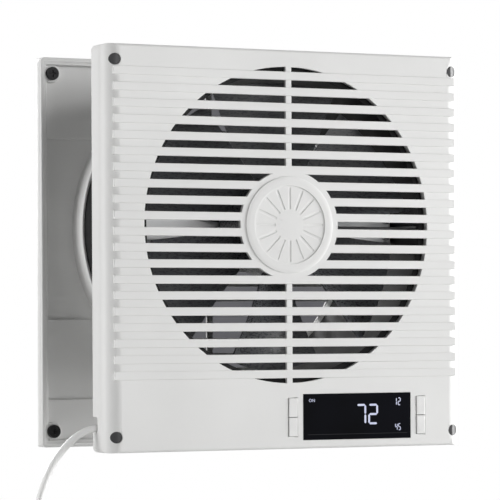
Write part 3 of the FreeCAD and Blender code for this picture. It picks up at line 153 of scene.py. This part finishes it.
def coil_points():
    """Half circles between stops left and right of the middle, through the bottom and the top in turn."""
    stops = np.array(coil_stops())
    side = np.where(np.arange(len(stops)) % 2 == 0, -1.0, 1.0)
    ends = np.stack([side * stops[:, 0], -COIL_PITCH * stops[:, 1], 0 * side], axis=1) + coil_middle
    angle = (np.arange(POINTS_PER_HALF_TURN) + 0.5) * np.pi / POINTS_PER_HALF_TURN
    outwards = 1 / math.cos(np.pi / (2 * POINTS_PER_HALF_TURN))
    centres = (ends[:-1] + ends[1:])[:, None] / 2
    arms = (ends[:-1] - ends[1:])[:, None] / 2
    reach = np.linalg.norm(arms, axis=-1) * side[:-1, None]
    lift = np.zeros((len(ends) - 1, POINTS_PER_HALF_TURN, 3))
    lift[..., 2] = reach * np.sin(angle)
    turns = centres + outwards * (arms * np.cos(angle)[None, :, None] + lift)
    tail = ends[-1] - np.outer(TAIL_STOPS, (0, 0, COIL_TAIL))
    return np.concatenate([turns.reshape(-1, 3), tail])


hanging = [np.array([x, CORD_Y, z]) for x, z in ROUTE]
cord_line = np.concatenate([hanging, coil_points()])
cord_curve = bpy.data.curves.new("mains_cord", "CURVE")
cord_curve.dimensions = "3D"
cord_curve.bevel_depth = 1.0
cord_curve.bevel_resolution = 5
cord_curve.resolution_u = 6
cord_curve.use_fill_caps = True
spline = cord_curve.splines.new("NURBS")
spline.points.add(len(cord_line) - 1)
spline.points.foreach_set("co", np.c_[cord_line, np.ones(len(cord_line))].ravel())
spline.points.foreach_set("radius", np.full(len(cord_line), CORD_RADIUS))
spline.order_u = 3
spline.use_endpoint_u = True
cord = put("mains_cord", cord_curve)
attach(cord, "front_unit")
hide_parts("power_cord", "cord_coil")
print("cord control points", len(cord_line), "end", cord_line[-1].round(4))

# %% [markdown]
# Finishes need three small tools: a colour is written as the hex value one would pick from a picture and
# turned to linear light once, nodes are added by one function that also sets and links their sockets,
# and sizes in a pattern are written in millimetres.


# %% Colour and node tools
def linear(code):
    """An sRGB hex colour as the linear colour that a socket takes."""
    share = np.array([int(code[i:i + 2], 16) for i in (0, 2, 4)]) / 255
    light = np.where(share <= 0.04045, share / 12.92, ((share + 0.055) / 1.055) ** 2.4)
    return (*light.tolist(), 1.0)


def add(tree, kind, sockets=None, **settings):
    """Add a node, set its own settings, then set or link each named socket."""
    node = tree.nodes.new(kind)
    for name, value in settings.items():
        setattr(node, name, value)
    for name, value in (sockets or {}).items():
        if isinstance(value, bpy.types.NodeSocket):
            tree.links.new(value, node.inputs[name])
        else:
            node.inputs[name].default_value = value
    return node


def per_mm(size):
    """The scale of a noise whose features are about this many millimetres across."""
    return 1 / (size * MM)


print("a middle grey in linear light", round(linear("808080")[0], 3))

# %% [markdown]
# The light is plain and soft. In the photograph the front and the left side are about equally bright,
# the rounded edge between them is darker, and the right edge is almost white. So one large soft lamp
# stands far to the right, another on the left, and a weaker one in front reaches in through the slots.
# A fourth lamp straight behind lights the back of the rear unit, for views from there. The world
# shows white to the camera and in reflections, and gives a dimmer fill to everything else. One bright
# world could do it all, but it would leave no darker side anywhere.

# %% Light
FILL = 0.13
LAMP_DISTANCE = 3.0
LAMPS = {
    "right_softbox": {"turn": 72, "rise": 2, "power": 130, "size": (1.4, 1.8)},
    "front_softbox": {"turn": 2, "rise": 13, "power": 21, "size": (1.2, 1.2)},
    "left_softbox": {"turn": -100, "rise": 4, "power": 53, "size": (1.2, 1.8)},
    "back_softbox": {"turn": 180, "rise": 12, "power": 44, "size": (0.8, 0.8)},
}


def lamp(name, turn, rise, power, size):
    """A rectangular lamp that faces the fan: turn is right of straight ahead, rise is upwards."""
    data = bpy.data.lights.new(name, "AREA")
    data.shape = "RECTANGLE"
    data.size, data.size_y = size
    data.energy = power
    across, up = math.radians(turn), math.radians(rise)
    away = Vector((math.sin(across) * math.cos(up), -math.cos(across) * math.cos(up), math.sin(up)))
    obj = put(name, data)
    obj.location = away * LAMP_DISTANCE
    obj.rotation_euler = away.to_track_quat("Z", "Y").to_euler()
    return obj


lamps = [lamp(name, **facts) for name, facts in LAMPS.items()]
world = bpy.data.worlds.new("studio")
bpy.context.scene.world = world
world.use_nodes = True
sky = world.node_tree
sky.nodes.clear()
path = add(sky, "ShaderNodeLightPath").outputs
seen = add(sky, "ShaderNodeMath", {0: path["Is Camera Ray"], 1: path["Is Glossy Ray"]},
           operation="MAXIMUM").outputs[0]
shown = add(sky, "ShaderNodeMath", {0: seen, 1: path["Is Transmission Ray"]},
            operation="MAXIMUM").outputs[0]
strength = add(sky, "ShaderNodeMapRange", {"Value": shown, "To Min": FILL, "To Max": 1.0}).outputs[0]
backdrop = add(sky, "ShaderNodeBackground", {"Color": linear("FFFFFF"), "Strength": strength})
add(sky, "ShaderNodeOutputWorld", {"Surface": backdrop.outputs[0]})
print("lamps", [obj.name for obj in lamps])

# %% [markdown]
# The fan hangs on a wall, so the floor lies just under the plug and out of the picture. It is a plain
# pale disc that gives a little light back from below and takes the fan's shadow in views from above.
# The duct is open from front to back, and a white backdrop would glare through it. A photographer hangs
# a grey card far behind the object for that, hidden by it, and so does this scene: the card stands on
# the line from the camera through the duct's middle, square to it.

# %% Floor and grey card
FLOOR_RADIUS = 1.3
FLOOR_DROP = 0.004
FLOOR_SIDES = 96
CARD_HALF = (0.20, 0.265)
CARD_DISTANCE = 3.0
CARD_CORNERS = [(-1, -1), (1, -1), (1, 1), (-1, 1)]
DUCT_MIDDLE = Vector((0, 0.04, 0))


def flat_face(name, points):
    """One flat face through some points, as an object."""
    mesh = bpy.data.meshes.new(name)
    mesh.from_pydata(np.array(points).tolist(), [], [list(range(len(points)))])
    return put(name, mesh)


turn = np.linspace(0, 2 * np.pi, FLOOR_SIDES, endpoint=False)
floor_height = cad_box[0].z - FLOOR_DROP
rim = np.stack([np.cos(turn), np.sin(turn), 0 * turn], axis=1) * FLOOR_RADIUS + (0, 0, floor_height)
floor = flat_face("floor", rim)

sight = (DUCT_MIDDLE - camera.location).normalized()
across = sight.cross(Vector((0, 0, 1))).normalized() * CARD_HALF[0]
upwards = across.cross(sight).normalized() * CARD_HALF[1]
card_middle = DUCT_MIDDLE + sight * CARD_DISTANCE
card = flat_face("dark_card", [card_middle + across * x + upwards * z for x, z in CARD_CORNERS])
print("floor at", round(floor_height, 4), "card", CARD_DISTANCE, "m behind the duct")

# %% [markdown]
# Each finish starts from what the surface is made of. A moulded part drifts a little in colour over
# centimetres, and its mould was spark eroded or polished, which leaves a grain that scatters the light.
# One function builds such a surface: a slow noise tints it, and a pattern stirs its roughness and
# bump. The pattern is a function too, so a brushed, laminated or woven surface only swaps that.
# METRE_BAND is the scale at which Blender's wave texture has its bands one metre apart.

# %% Finish tools
TINT_STOPS = (0.32, 0.68)
BUMP_STRENGTH = 0.5
METRE_BAND = math.pi / 10


def grain(size):
    """An even grain, as a spark eroded or sand blasted mould leaves it."""
    def pattern(tree, place):
        noise = {"Vector": place, "Scale": per_mm(size), "Detail": 3.0}
        return add(tree, "ShaderNodeTexNoise", noise).outputs[0]
    return pattern


def streaks(size, stretch):
    """A grain drawn out along one axis or more, as rolling and brushing leave it."""
    def pattern(tree, place):
        drawn = add(tree, "ShaderNodeMapping", {"Vector": place, "Scale": stretch})
        noise = {"Vector": drawn.outputs[0], "Scale": per_mm(size), "Detail": 4.0}
        return add(tree, "ShaderNodeTexNoise", noise).outputs[0]
    return pattern


def bands(pitch, axis):
    """Even ridges across one axis, such as laminations, winding turns or a strap's weave."""
    def pattern(tree, place):
        wave = {"Vector": place, "Scale": METRE_BAND / (pitch * MM), "Distortion": 0.4, "Detail": 1.0}
        settings = {"wave_type": "BANDS", "bands_direction": axis}
        return add(tree, "ShaderNodeTexWave", wave, **settings).outputs["Fac"]
    return pattern


def finish(name, dark, light, mottle, pattern, rough, relief, **sockets):
    """A surface that drifts between two hex colours over mottle mm, with a pattern in its gloss and bump."""
    made = bpy.data.materials.new(name)
    made.use_nodes = True
    tree = made.node_tree
    tree.nodes.clear()
    place = add(tree, "ShaderNodeTexCoord").outputs["Object"]
    drift = add(tree, "ShaderNodeTexNoise", {"Vector": place, "Scale": per_mm(mottle), "Detail": 2.0})
    tint = add(tree, "ShaderNodeValToRGB", {"Fac": drift.outputs["Fac"]})
    for element, spot, code in zip(tint.color_ramp.elements, TINT_STOPS, (dark, light)):
        element.position = spot
        element.color = linear(code)
    height = pattern(tree, place)
    spread = add(tree, "ShaderNodeMapRange", {"Value": height, "To Min": rough[0], "To Max": rough[1]})
    ripple = {"Height": height, "Strength": BUMP_STRENGTH, "Distance": relief * MM}
    bump = add(tree, "ShaderNodeBump", ripple)
    surface = {"Base Color": tint.outputs[0], "Roughness": spread.outputs[0], "Normal": bump.outputs[0]}
    shader = add(tree, "ShaderNodeBsdfPrincipled", surface)
    for socket, value in sockets.items():
        shader.inputs[socket.replace("_", " ")].default_value = value
    add(tree, "ShaderNodeOutputMaterial", {"Surface": shader.outputs[0]})
    return made


print("scale of a 1 mm grain", per_mm(1), "and of 1 mm bands", round(METRE_BAND / MM, 1))

# %% [markdown]
# The shells are satin white ABS, moulded in a finely eroded tool. A real grain of about 0.2 mm is too
# fine to show at this size, so it is drawn at 0.9 mm and kept shallow: it only breaks up the sheen.
# The badge and the buttons come from polished tools and are a little glossier.

# %% White plastics
finishes = {
    "white_shell": finish("satin_white_abs", "E0E0DF", "E5E5E4", 70, grain(0.9), (0.42, 0.54), 0.02,
                          IOR=1.5),
    "badge_white": finish("smooth_white_abs", "E2E2E1", "E6E6E5", 30, grain(0.6), (0.30, 0.38), 0.008,
                          IOR=1.5),
    "button_white": finish("button_white_abs", "E3E3E2", "E8E8E7", 12, grain(0.5), (0.32, 0.42), 0.008,
                           IOR=1.5),
}
print("white plastics", list(finishes))

# %% [markdown]
# The dark plastics differ in gloss. The duct is plain black polypropylene from a blasted tool, the
# blades are glossy dark ABS that shows flow lines, the corner discs are dark grey and satin, and the
# display window is smoked acrylic, polished smooth.

# %% Dark plastics
finishes |= {
    "sleeve_black": finish("black_polypropylene", "0E0E0F", "141415", 40, grain(1.0), (0.50, 0.65), 0.03,
                           Specular_IOR_Level=0.25),
    "blade_dark": finish("glossy_dark_abs", "56575A", "626366", 25, streaks(3.0, (1, 1, 3)),
                         (0.22, 0.34), 0.01),
    "plug_grey": finish("grey_polypropylene", "222224", "2A2A2C", 3, grain(0.5), (0.34, 0.46), 0.02),
    "window_black": finish("smoked_acrylic", "05060A", "090A11", 35, grain(6.0), (0.05, 0.09), 0.001,
                           Specular_IOR_Level=0.06),
    "panel_dark": finish("display_glass", "0B0C12", "12131B", 20, grain(4.0), (0.08, 0.14), 0.002),
    "switch_black": finish("switch_nylon", "17171A", "202023", 4, grain(0.3), (0.45, 0.60), 0.01),
}
print("finishes with the dark plastics", len(finishes))

# %% [markdown]
# The metals: the motor's bracket is zinc plated sheet with rolling streaks along it, the tray's screws
# are black oxide steel, the plain screws and the shaft are bright steel, and the motor holds laminated
# iron, sintered ferrite and enamelled copper. A metal has no colour of its own beside its mirror, so
# these get their looks from the lamps and the white world around them.

# %% Metals and motor materials
finishes |= {
    "bracket_grey": finish("zinc_plated_steel", "EEEFF0", "F6F6F6", 14, streaks(1.2, (0.1, 1, 1)),
                           (0.38, 0.50), 0.01, Metallic=1.0),
    "screw_black": finish("black_oxide_steel", "0A0A0B", "141416", 2, grain(0.4), (0.28, 0.42), 0.01,
                          Metallic=0.4),
    "steel": finish("bright_steel", "A9AAAC", "BCBDBF", 5, streaks(0.5, (1, 0.2, 1)),
                    (0.22, 0.36), 0.006, Metallic=1.0),
    "stator_iron": finish("laminated_iron", "5A5A5E", "6E6E72", 8, bands(1.0, "Y"), (0.35, 0.50), 0.05,
                          Metallic=0.9),
    "magnet_dark": finish("sintered_ferrite", "2B2B2D", "363638", 3, grain(0.4), (0.5, 0.7), 0.02),
    "copper": finish("enamelled_copper", "A4531F", "BE6B30", 4, bands(0.8, "X"), (0.20, 0.32), 0.1,
                     Metallic=0.9),
    "blade_brass": finish("plated_brass", "B9AF93", "CFC6AC", 6, streaks(0.6, (1, 1, 0.2)),
                          (0.20, 0.32), 0.006, Metallic=1.0),
}
print("finishes with the metals", len(finishes))

# %% [markdown]
# The soft materials: the cord's sheath and the plug are white PVC with the faint waviness of an
# extruded skin, the inner leads are grey PVC, and the coil's strap is black woven nylon. The circuit
# boards are green solder mask over rows of copper tracks. The floor is pale and dull, and the card is
# grey felt. Then every CAD node gets the finish of its slot.

# %% Cord, strap, board and studio materials
finishes |= {
    "cord_white": finish("white_pvc", "EEEEED", "F4F4F3", 18, streaks(2.0, (1, 1, 0.5)),
                         (0.36, 0.48), 0.02),
    "lead_grey": finish("grey_pvc", "8C8C8E", "9A9A9C", 10, grain(1.2), (0.40, 0.52), 0.02),
    "tie_black": finish("woven_nylon", "121214", "1D1D20", 3, bands(0.9, "Z"), (0.6, 0.8), 0.12),
    "board_green": finish("solder_mask", "0F4A26", "17602F", 9, bands(1.27, "X"), (0.25, 0.40), 0.03),
    "floor": finish("pale_floor", "E4E4E3", "E9E9E8", 400, grain(8.0), (0.60, 0.75), 0.02),
    "card": finish("grey_felt", "66666A", "707074", 60, grain(2.0), (0.85, 0.95), 0.1,
                   Specular_IOR_Level=0.05),
}
floor.data.materials.append(finishes["floor"])
card.data.materials.append(finishes["card"])
cord_curve.materials.append(finishes["cord_white"])
for node, obj in frame["nodes"].items():
    for material_slot in obj.material_slots:
        material_slot.material = finishes[slot_of[node]]
print("finishes", len(finishes))

# %% [markdown]
# A moulded or stamped piece has no razor edges: each one is eased by a few tenths of a millimetre and
# catches a line of light. The CAD shapes are right, so each visible piece is a copy of its CAD mesh with
# the corners joined, flat triangles merged into whole faces and a narrow bevel on its outer edges.
# Some edges stay sharp: inner ones, those beside a rounded or sloping side, whose strips are narrower
# than a bevel, and those that run on in a line as an inner edge, where a bevel would have no end.
# Weighting the normals by area keeps flat faces flat beside round ones. EASED holds each piece's bevel
# in millimetres.

# %% Eased copies of the CAD pieces
MERGE = 1e-6
FLAT_ANGLE = math.radians(0.6)
EDGE_ANGLE = math.radians(32)
STRAIGHT = 0.02
BEVEL_SEGMENTS = 2
FACE_WEIGHT = 100
EASED = {
    "front_cover": 0.30,
    "front_base": 0.30,
    "rear_base": 0.60,
    "rear_cover": 0.40,
    "center_badge": 0.16,
    "corner_plugs": 0.30,
    "display_window": 0.15,
    "button_left_upper": 0.18,
    "button_left_lower": 0.18,
    "button_right_upper": 0.18,
    "button_right_lower": 0.18,
    "front_sleeve": 0.30,
    "rear_sleeve": 0.30,
    "impeller": 0.25,
    "motor_bracket": 0.40,
    "rear_screws": 0.15,
    "cord_gland": 0.25,
    "plug_blades": 0.25,
}


def show(name, mesh, body, slot, *nodes):
    """Put a mesh in the scene: it rides on a body, wears its slot's finish and stands for CAD nodes."""
    obj = put(name, mesh)
    mesh.materials.clear()
    mesh.materials.append(finishes[slot])
    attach(obj, body)
    if nodes:
        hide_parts(*nodes)
    return obj


def runs_inwards(edge):
    """Whether an edge goes on in a straight line as an inner edge, where a bevel would have no end."""
    along = (edge.verts[1].co - edge.verts[0].co).normalized()
    others = [other for vert in edge.verts for other in vert.link_edges if other is not edge]
    inner = [other for other in others if other.calc_face_angle_signed(0.0) < -EDGE_ANGLE]
    lines = [(other.verts[1].co - other.verts[0].co).normalized() for other in inner]
    return any(abs(along.dot(line)) > 1 - STRAIGHT for line in lines)


def eased(node, width):
    """A copy of a CAD node with a bevel of width mm on its outer edges that bend by over EDGE_ANGLE."""
    mesh = frame["nodes"][node].data.copy()
    mesh.name = node + "_eased"
    work = bmesh.new()
    work.from_mesh(mesh)
    bmesh.ops.remove_doubles(work, verts=work.verts, dist=MERGE)
    bmesh.ops.dissolve_limit(work, angle_limit=FLAT_ANGLE, verts=work.verts, edges=work.edges)
    weight = work.edges.layers.float.new("bevel_weight_edge")
    for edge in work.edges:
        bend = edge.calc_face_angle_signed(0.0)
        rounded = any(STRAIGHT < abs(face.normal.y) < 1 - STRAIGHT for face in edge.link_faces)
        bevelled = bend > EDGE_ANGLE and not rounded and not runs_inwards(edge)
        edge[weight] = float(bevelled)
        edge.smooth = bevelled or abs(bend) < EDGE_ANGLE
    work.to_mesh(mesh)
    work.free()
    if "custom_normal" in mesh.attributes:
        mesh.attributes.remove(mesh.attributes["custom_normal"])
    mesh.shade_smooth()
    obj = show(mesh.name, mesh, body_of[node], slot_of[node], node)
    bevel = obj.modifiers.new("eased_edges", "BEVEL")
    bevel.width = width * MM
    bevel.segments = BEVEL_SEGMENTS
    bevel.limit_method = "WEIGHT"
    bevel.use_clamp_overlap = False
    bevel.harden_normals = True
    flat = obj.modifiers.new("flat_faces", "WEIGHTED_NORMAL")
    flat.weight = FACE_WEIGHT
    flat.keep_sharp = True
    return obj


eased_pieces = {node: eased(node, width) for node, width in EASED.items()}
print("eased", {node: len(obj.data.polygons) for node, obj in eased_pieces.items()})

# %% [markdown]
# The display shows lit segments behind smoked acrylic: a large reading, smaller numbers beside it, a
# thin dark line below and the word ON. A digit is a set of bars with pointed ends, so one hexagon is
# placed for every lit bar at once, as whole arrays. A typeface could write the numbers too, but its
# strokes would join where a real display has gaps. BARS says where a bar lies in its digit's cell,
# across and along, and whether it stands upright, and LIT says which bars a digit needs. The numbers
# are plain ones. Sizes here are in millimetres, and a spot on the window is its share of the width and
# of the height, from the top left.

# %% Lit segments
BARS = {
    "a": (0.0, 1.0, 0),
    "b": (0.5, 0.5, 1),
    "c": (0.5, -0.5, 1),
    "d": (0.0, -1.0, 0),
    "e": (-0.5, -0.5, 1),
    "f": (-0.5, 0.5, 1),
    "g": (0.0, 0.0, 0),
}
LIT = {"1": "bc", "2": "abged", "4": "fgbc", "5": "afgcd", "7": "abc"}
BAR_GAP = 0.12
SEGMENT_RISE = 0.03
READINGS = [
    {"text": "72", "spot": (0.488, 0.235), "width": 7.4, "height": 13.6, "stroke": 1.35, "pitch": 8.9},
    {"text": "12", "spot": (0.842, 0.105), "width": 2.2, "height": 5.2, "stroke": 0.60, "pitch": 2.9},
    {"text": "45", "spot": (0.852, 0.675), "width": 1.9, "height": 4.6, "stroke": 0.50, "pitch": 2.4},
]
LINE_SPOT = (0.04, 0.885)
LINE_LENGTH = 74.0
LINE_WIDTH = 0.22
window_low, window_high = (np.array(corner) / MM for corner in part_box("display_window"))


def on_window(share_x, share_z):
    """A place on the window in mm, from its shares to the right and downwards."""
    size = window_high - window_low
    return window_low[0] + share_x * size[0], window_high[2] - share_z * size[2]


def hexagon(length, stroke):
    """A bar with pointed ends: six corners round a length and a stroke."""
    tip, flat, half = length / 2, length / 2 - stroke / 2, stroke / 2
    return np.array([(-tip, 0), (-flat, -half), (flat, -half), (tip, 0), (flat, half), (-flat, half)])


def reading(text, spot, width, height, stroke, pitch):
    """A number's lit bars as corners in mm: each bar's hexagon, turned if upright, set in its cell."""
    lit = [(place, *BARS[bar]) for place, digit in enumerate(text) for bar in LIT[digit]]
    place, across, along, upright = np.array(lit).T
    left, top = on_window(*spot)
    span_x, span_z = width - stroke, (height - stroke) / 2
    flat_bar = hexagon(span_x - stroke * BAR_GAP, stroke)
    tall_bar = hexagon(span_z - stroke * BAR_GAP, stroke)[:, ::-1]
    corners = np.where(upright[:, None, None] > 0, tall_bar, flat_bar)
    middle_x = left + width / 2 + place * pitch + across * span_x
    middle_z = top - height / 2 + along * span_z
    return corners + np.stack([middle_x, middle_z], axis=1)[:, None]


numbers = np.concatenate([reading(**facts) for facts in READINGS])
line_left, line_top = on_window(*LINE_SPOT)
guide_line = hexagon(LINE_LENGTH, LINE_WIDTH)[None] + (line_left + LINE_LENGTH / 2, line_top)
print("lit bars", len(numbers))

# %% [markdown]
# On a real display the bars are films that light from behind. Here each outline becomes a thin prism
# that stands out of the window by a few hundredths of a millimetre, so it neither flickers in the
# window's face nor casts a shadow. The lit material glows a little unevenly, as such films do. The
# thin line is printed, not lit, so it keeps the dark panel's finish.

# %% Lit material and the display's pieces
GLOW = 0.9
window_front = window_low[1]
glow = bpy.data.materials.new("lit_segments")
glow.use_nodes = True
glow_tree = glow.node_tree
glow_tree.nodes.clear()
glow_place = add(glow_tree, "ShaderNodeTexCoord").outputs["Object"]
glow_drift = add(glow_tree, "ShaderNodeTexNoise", {"Vector": glow_place, "Scale": per_mm(4), "Detail": 2.0})
glow_tint = add(glow_tree, "ShaderNodeValToRGB", {"Fac": glow_drift.outputs[0]})
glow_tint.color_ramp.elements[0].color = linear("B9C0E2")
glow_tint.color_ramp.elements[1].color = linear("E6E9FB")
glow_shader = add(glow_tree, "ShaderNodeBsdfPrincipled", {
    "Base Color": linear("20222C"),
    "Emission Color": glow_tint.outputs[0],
    "Emission Strength": GLOW,
    "Roughness": 0.3,
})
add(glow_tree, "ShaderNodeOutputMaterial", {"Surface": glow_shader.outputs[0]})


def closed(mesh):
    """The same mesh, with points that fall together merged and its normals turned outwards."""
    work = bmesh.new()
    work.from_mesh(mesh)
    bmesh.ops.remove_doubles(work, verts=work.verts, dist=MERGE)
    bmesh.ops.recalc_face_normals(work, faces=work.faces)
    work.to_mesh(mesh)
    work.free()
    return mesh


def prisms(name, outlines):
    """Thin prisms: each outline of corners (x, z) gets a front face, a back face and walls between them."""
    count, sides = outlines.shape[:2]
    faces_y = window_front + np.array([-SEGMENT_RISE, SEGMENT_RISE])
    depth = np.broadcast_to(faces_y[:, None, None], (2, count, sides))
    flat = np.broadcast_to(outlines, (2, count, sides, 2))
    points = np.stack([flat[..., 0], depth, flat[..., 1]], axis=-1).reshape(-1, 3) * MM
    index = np.arange(2 * count * sides).reshape(2, count, sides)
    walls = np.stack([index[0], index[1], np.roll(index[1], -1, 1), np.roll(index[0], -1, 1)], axis=-1)
    mesh = bpy.data.meshes.new(name)
    mesh.from_pydata(points.tolist(), [], index.reshape(-1, sides).tolist() + walls.reshape(-1, 4).tolist())
    return closed(mesh)


def show_lit(name, mesh):
    """A glowing piece of the display: it rides on the front unit and wears the lit material."""
    obj = show(name, mesh, "front_unit", "panel_dark")
    obj.data.materials[0] = glow
    return obj


digits = show_lit("lit_numbers", prisms("lit_numbers", numbers))
line = show("guide_line", prisms("guide_line", guide_line), "front_unit", "panel_dark")
print("display pieces", digits.name, line.name)

# %% [markdown]
# The word ON is set in Blender's own typeface, made a mesh, and only then placed: its flat letters are
# turned to face forwards by swapping their axes, so the object itself stays at the origin, unturned.

# %% The word ON
WORD_HEIGHT = 2.9
WORD_SPOT = (0.048, 0.175)
word_curve = bpy.data.curves.new("on_word", "FONT")
word_curve.body = "ON"
word_curve.size = WORD_HEIGHT * MM
word_curve.extrude = SEGMENT_RISE * MM
word_draft = bpy.data.objects.new("on_draft", word_curve)
word_mesh = bpy.data.meshes.new_from_object(word_draft)
bpy.data.objects.remove(word_draft)
letters = np.empty(3 * len(word_mesh.vertices), dtype=np.float32)
word_mesh.vertices.foreach_get("co", letters)
right, up, out = letters.reshape(-1, 3).T
word_left, word_foot = on_window(*WORD_SPOT)
placed = np.stack([right + word_left * MM, window_front * MM - out, up + word_foot * MM], axis=1)
word_mesh.vertices.foreach_set("co", placed.astype(np.float32).ravel())
word = show_lit("on_word", word_mesh)
print("word", word.name, len(word_mesh.vertices))

# %% [markdown]
# New pieces are surfaces over two parameters, worked out as whole arrays on a grid. One helper turns
# such a grid into a mesh: neighbours become four-sided faces, a seam or a pole closes by merging the
# points that fall together, and the normals are turned outwards.


# %% From a grid to a mesh
def surface(name, grid):
    """A mesh from a grid of points (rows, columns, xyz) in metres; columns close round on themselves."""
    rows, columns = grid.shape[:2]
    index = np.arange(rows * columns).reshape(rows, columns)
    ahead = np.roll(index, -1, 1)
    faces = np.stack([index[:-1], index[1:], ahead[1:], ahead[:-1]], axis=-1).reshape(-1, 4)
    mesh = bpy.data.meshes.new(name)
    mesh.from_pydata(grid.reshape(-1, 3).tolist(), [], faces.tolist())
    closed(mesh).shade_smooth()
    return mesh


def box_round(angle, power):
    """A point on a rounded square: cosine and sine, each raised to 2 / power with its sign kept."""
    cosine, sine = np.cos(angle), np.sin(angle)
    return np.sign(cosine) * np.abs(cosine) ** (2 / power), np.sign(sine) * np.abs(sine) ** (2 / power)


def ease(value, start, stop):
    """A smooth step from 0 to 1 between two values."""
    share = np.clip((value - start) / (stop - start), 0, 1)
    return share * share * (3 - 2 * share)


print("a quarter of the way, a smooth step has reached", ease(0.25, 0, 1))

# %% [markdown]
# A woven strap holds the coil. It goes once round the bundle and its end lies over its start, as a hook
# and loop strap does. Its line is a rounded rectangle that opens outwards over the overlap, and a
# thin flat section runs along it and tapers shut at both ends. A curve with a flat profile could do it
# too, but not the taper and the lap at once. Its sizes are in millimetres, places along it in radians.

# %% Coil strap
STRAP_WALL = 1.0
STRAP_OVERLAP = 0.7
STRAP_LIFT = 1.1
STRAP_RAMP = 0.35
STRAP_TAPER = 0.03
STRAP_STEPS = 160
STRAP_COLUMNS = 24
STRAP_START = math.radians(200)
LOOP_POWER = 5
SECTION_POWER = 4
tie_low, tie_high = (np.array(corner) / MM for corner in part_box("cord_tie"))
tie_middle, tie_half = (tie_low + tie_high) / 2, (tie_high - tie_low) / 2


def strap():
    """A flat section carried round a rounded rectangle in y and z, and past its start on a lifted lap."""
    along = np.linspace(0, 2 * np.pi + STRAP_OVERLAP, STRAP_STEPS)
    lap = ease(along, 2 * np.pi - STRAP_RAMP, 2 * np.pi) * STRAP_LIFT
    line_y, line_z = box_round(along + STRAP_START, LOOP_POWER)
    out_y = np.sign(line_y) * np.abs(line_y) ** (LOOP_POWER - 1)
    out_z = np.sign(line_z) * np.abs(line_z) ** (LOOP_POWER - 1)
    length = np.hypot(out_y, out_z)
    out_y, out_z = out_y / length, out_z / length
    ends = np.clip(np.minimum(along, along[-1] - along) / STRAP_TAPER, 0, 1)
    flat, thick = box_round(np.linspace(0, 2 * np.pi, STRAP_COLUMNS, endpoint=False), SECTION_POWER)
    rise = (thick * STRAP_WALL / 2)[None] * ends[:, None] + lap[:, None]
    reach_y, reach_z = tie_half[1] - STRAP_WALL / 2, tie_half[2] - STRAP_WALL / 2
    x = tie_middle[0] + flat[None] * tie_half[0] * ends[:, None]
    y = tie_middle[1] + (line_y * reach_y)[:, None] + rise * out_y[:, None]
    z = tie_middle[2] + (line_z * reach_z)[:, None] + rise * out_z[:, None]
    return np.stack([x, y, z], axis=-1) * MM


tie = show("coil_strap", surface("coil_strap", strap()), "front_unit", "tie_black", "cord_tie")
print("strap", len(tie.data.polygons), "faces")

# %% [markdown]
# The plug is one moulding in white PVC: a ringed boot that bends with the cord, shoulders, and a body
# with finger ridges on its two broad sides. Its section goes from a circle to a rounded rectangle, so
# one function of height and angle gives all of it, with no joints to clean up as between boxes and
# tubes. Its sizes are in millimetres, and the pairs of values are shares of its height, or of the
# boot's, between which something sets in or fades.

# %% Plug
PLUG_ROWS = 150
PLUG_COLUMNS = 64
BOOT_END = 0.42
BOOT_RADIUS = 2.7
BOOT_GROWTH = 1.9
BOOT_RINGS = 7
RING_DEPTH = 0.35
RINGS_START = (0.02, 0.15)
RINGS_STOP = (0.80, 0.95)
SHOULDERS = (0.40, 0.56)
BODY_POWER = 2.4
FOOT_START = 0.94
FOOT_NARROWING = 0.2
GRIP_RIDGES = 6
GRIP_DEPTH = 0.4
GRIP_START = (0.60, 0.66)
GRIP_STOP = (0.86, 0.92)
BROAD_SIDE = 0.6
plug_box = [np.array(corner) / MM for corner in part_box("plug_body")]
plug_top, plug_foot = plug_box[1][2], plug_box[0][2]
plug_middle = (plug_box[0] + plug_box[1]) / 2
plug_half = (plug_box[1] - plug_box[0]) / 2


def plug_shell():
    """Half width, half depth and squareness by height, with rings on the boot and ridges on the grip."""
    down = np.linspace(0, 1, PLUG_ROWS)
    boot = np.clip(down / BOOT_END, 0, 1)
    grown = ease(down, *SHOULDERS)
    ringed = ease(boot, *RINGS_START) * (1 - ease(boot, *RINGS_STOP))
    stem = BOOT_RADIUS + BOOT_GROWTH * boot + RING_DEPTH * np.cos(2 * np.pi * BOOT_RINGS * boot) * ringed
    foot = np.clip((down - FOOT_START) / (1 - FOOT_START), 0, 1)
    ends = np.sqrt(1 - FOOT_NARROWING * foot ** 2) * (down > 0) * (down < 1)
    width = (stem + (plug_half[0] - stem) * grown) * ends
    depth = (stem + (plug_half[1] - stem) * grown) * ends
    angle = np.linspace(0, 2 * np.pi, PLUG_COLUMNS, endpoint=False)[None]
    across, along = box_round(angle, (2 + BODY_POWER * grown)[:, None])
    gripped = ease(down, *GRIP_START) * (1 - ease(down, *GRIP_STOP))
    place = (down - GRIP_START[0]) / (GRIP_STOP[1] - GRIP_START[0])
    ridges = GRIP_DEPTH * gripped * (0.5 - 0.5 * np.cos(2 * np.pi * GRIP_RIDGES * place))
    broad = np.clip(np.abs(along) - BROAD_SIDE, 0, 1) / (1 - BROAD_SIDE)
    x = plug_middle[0] + across * width[:, None]
    y = plug_middle[1] + along * depth[:, None] - np.sign(along) * ridges[:, None] * broad
    z = np.broadcast_to((plug_top + (plug_foot - plug_top) * down)[:, None], y.shape)
    return np.stack([x, y, z], axis=-1) * MM


plug = show("plug_shell", surface("plug_shell", plug_shell()), "front_unit", "cord_white", "plug_body")
print("plug", len(plug.data.polygons), "faces")
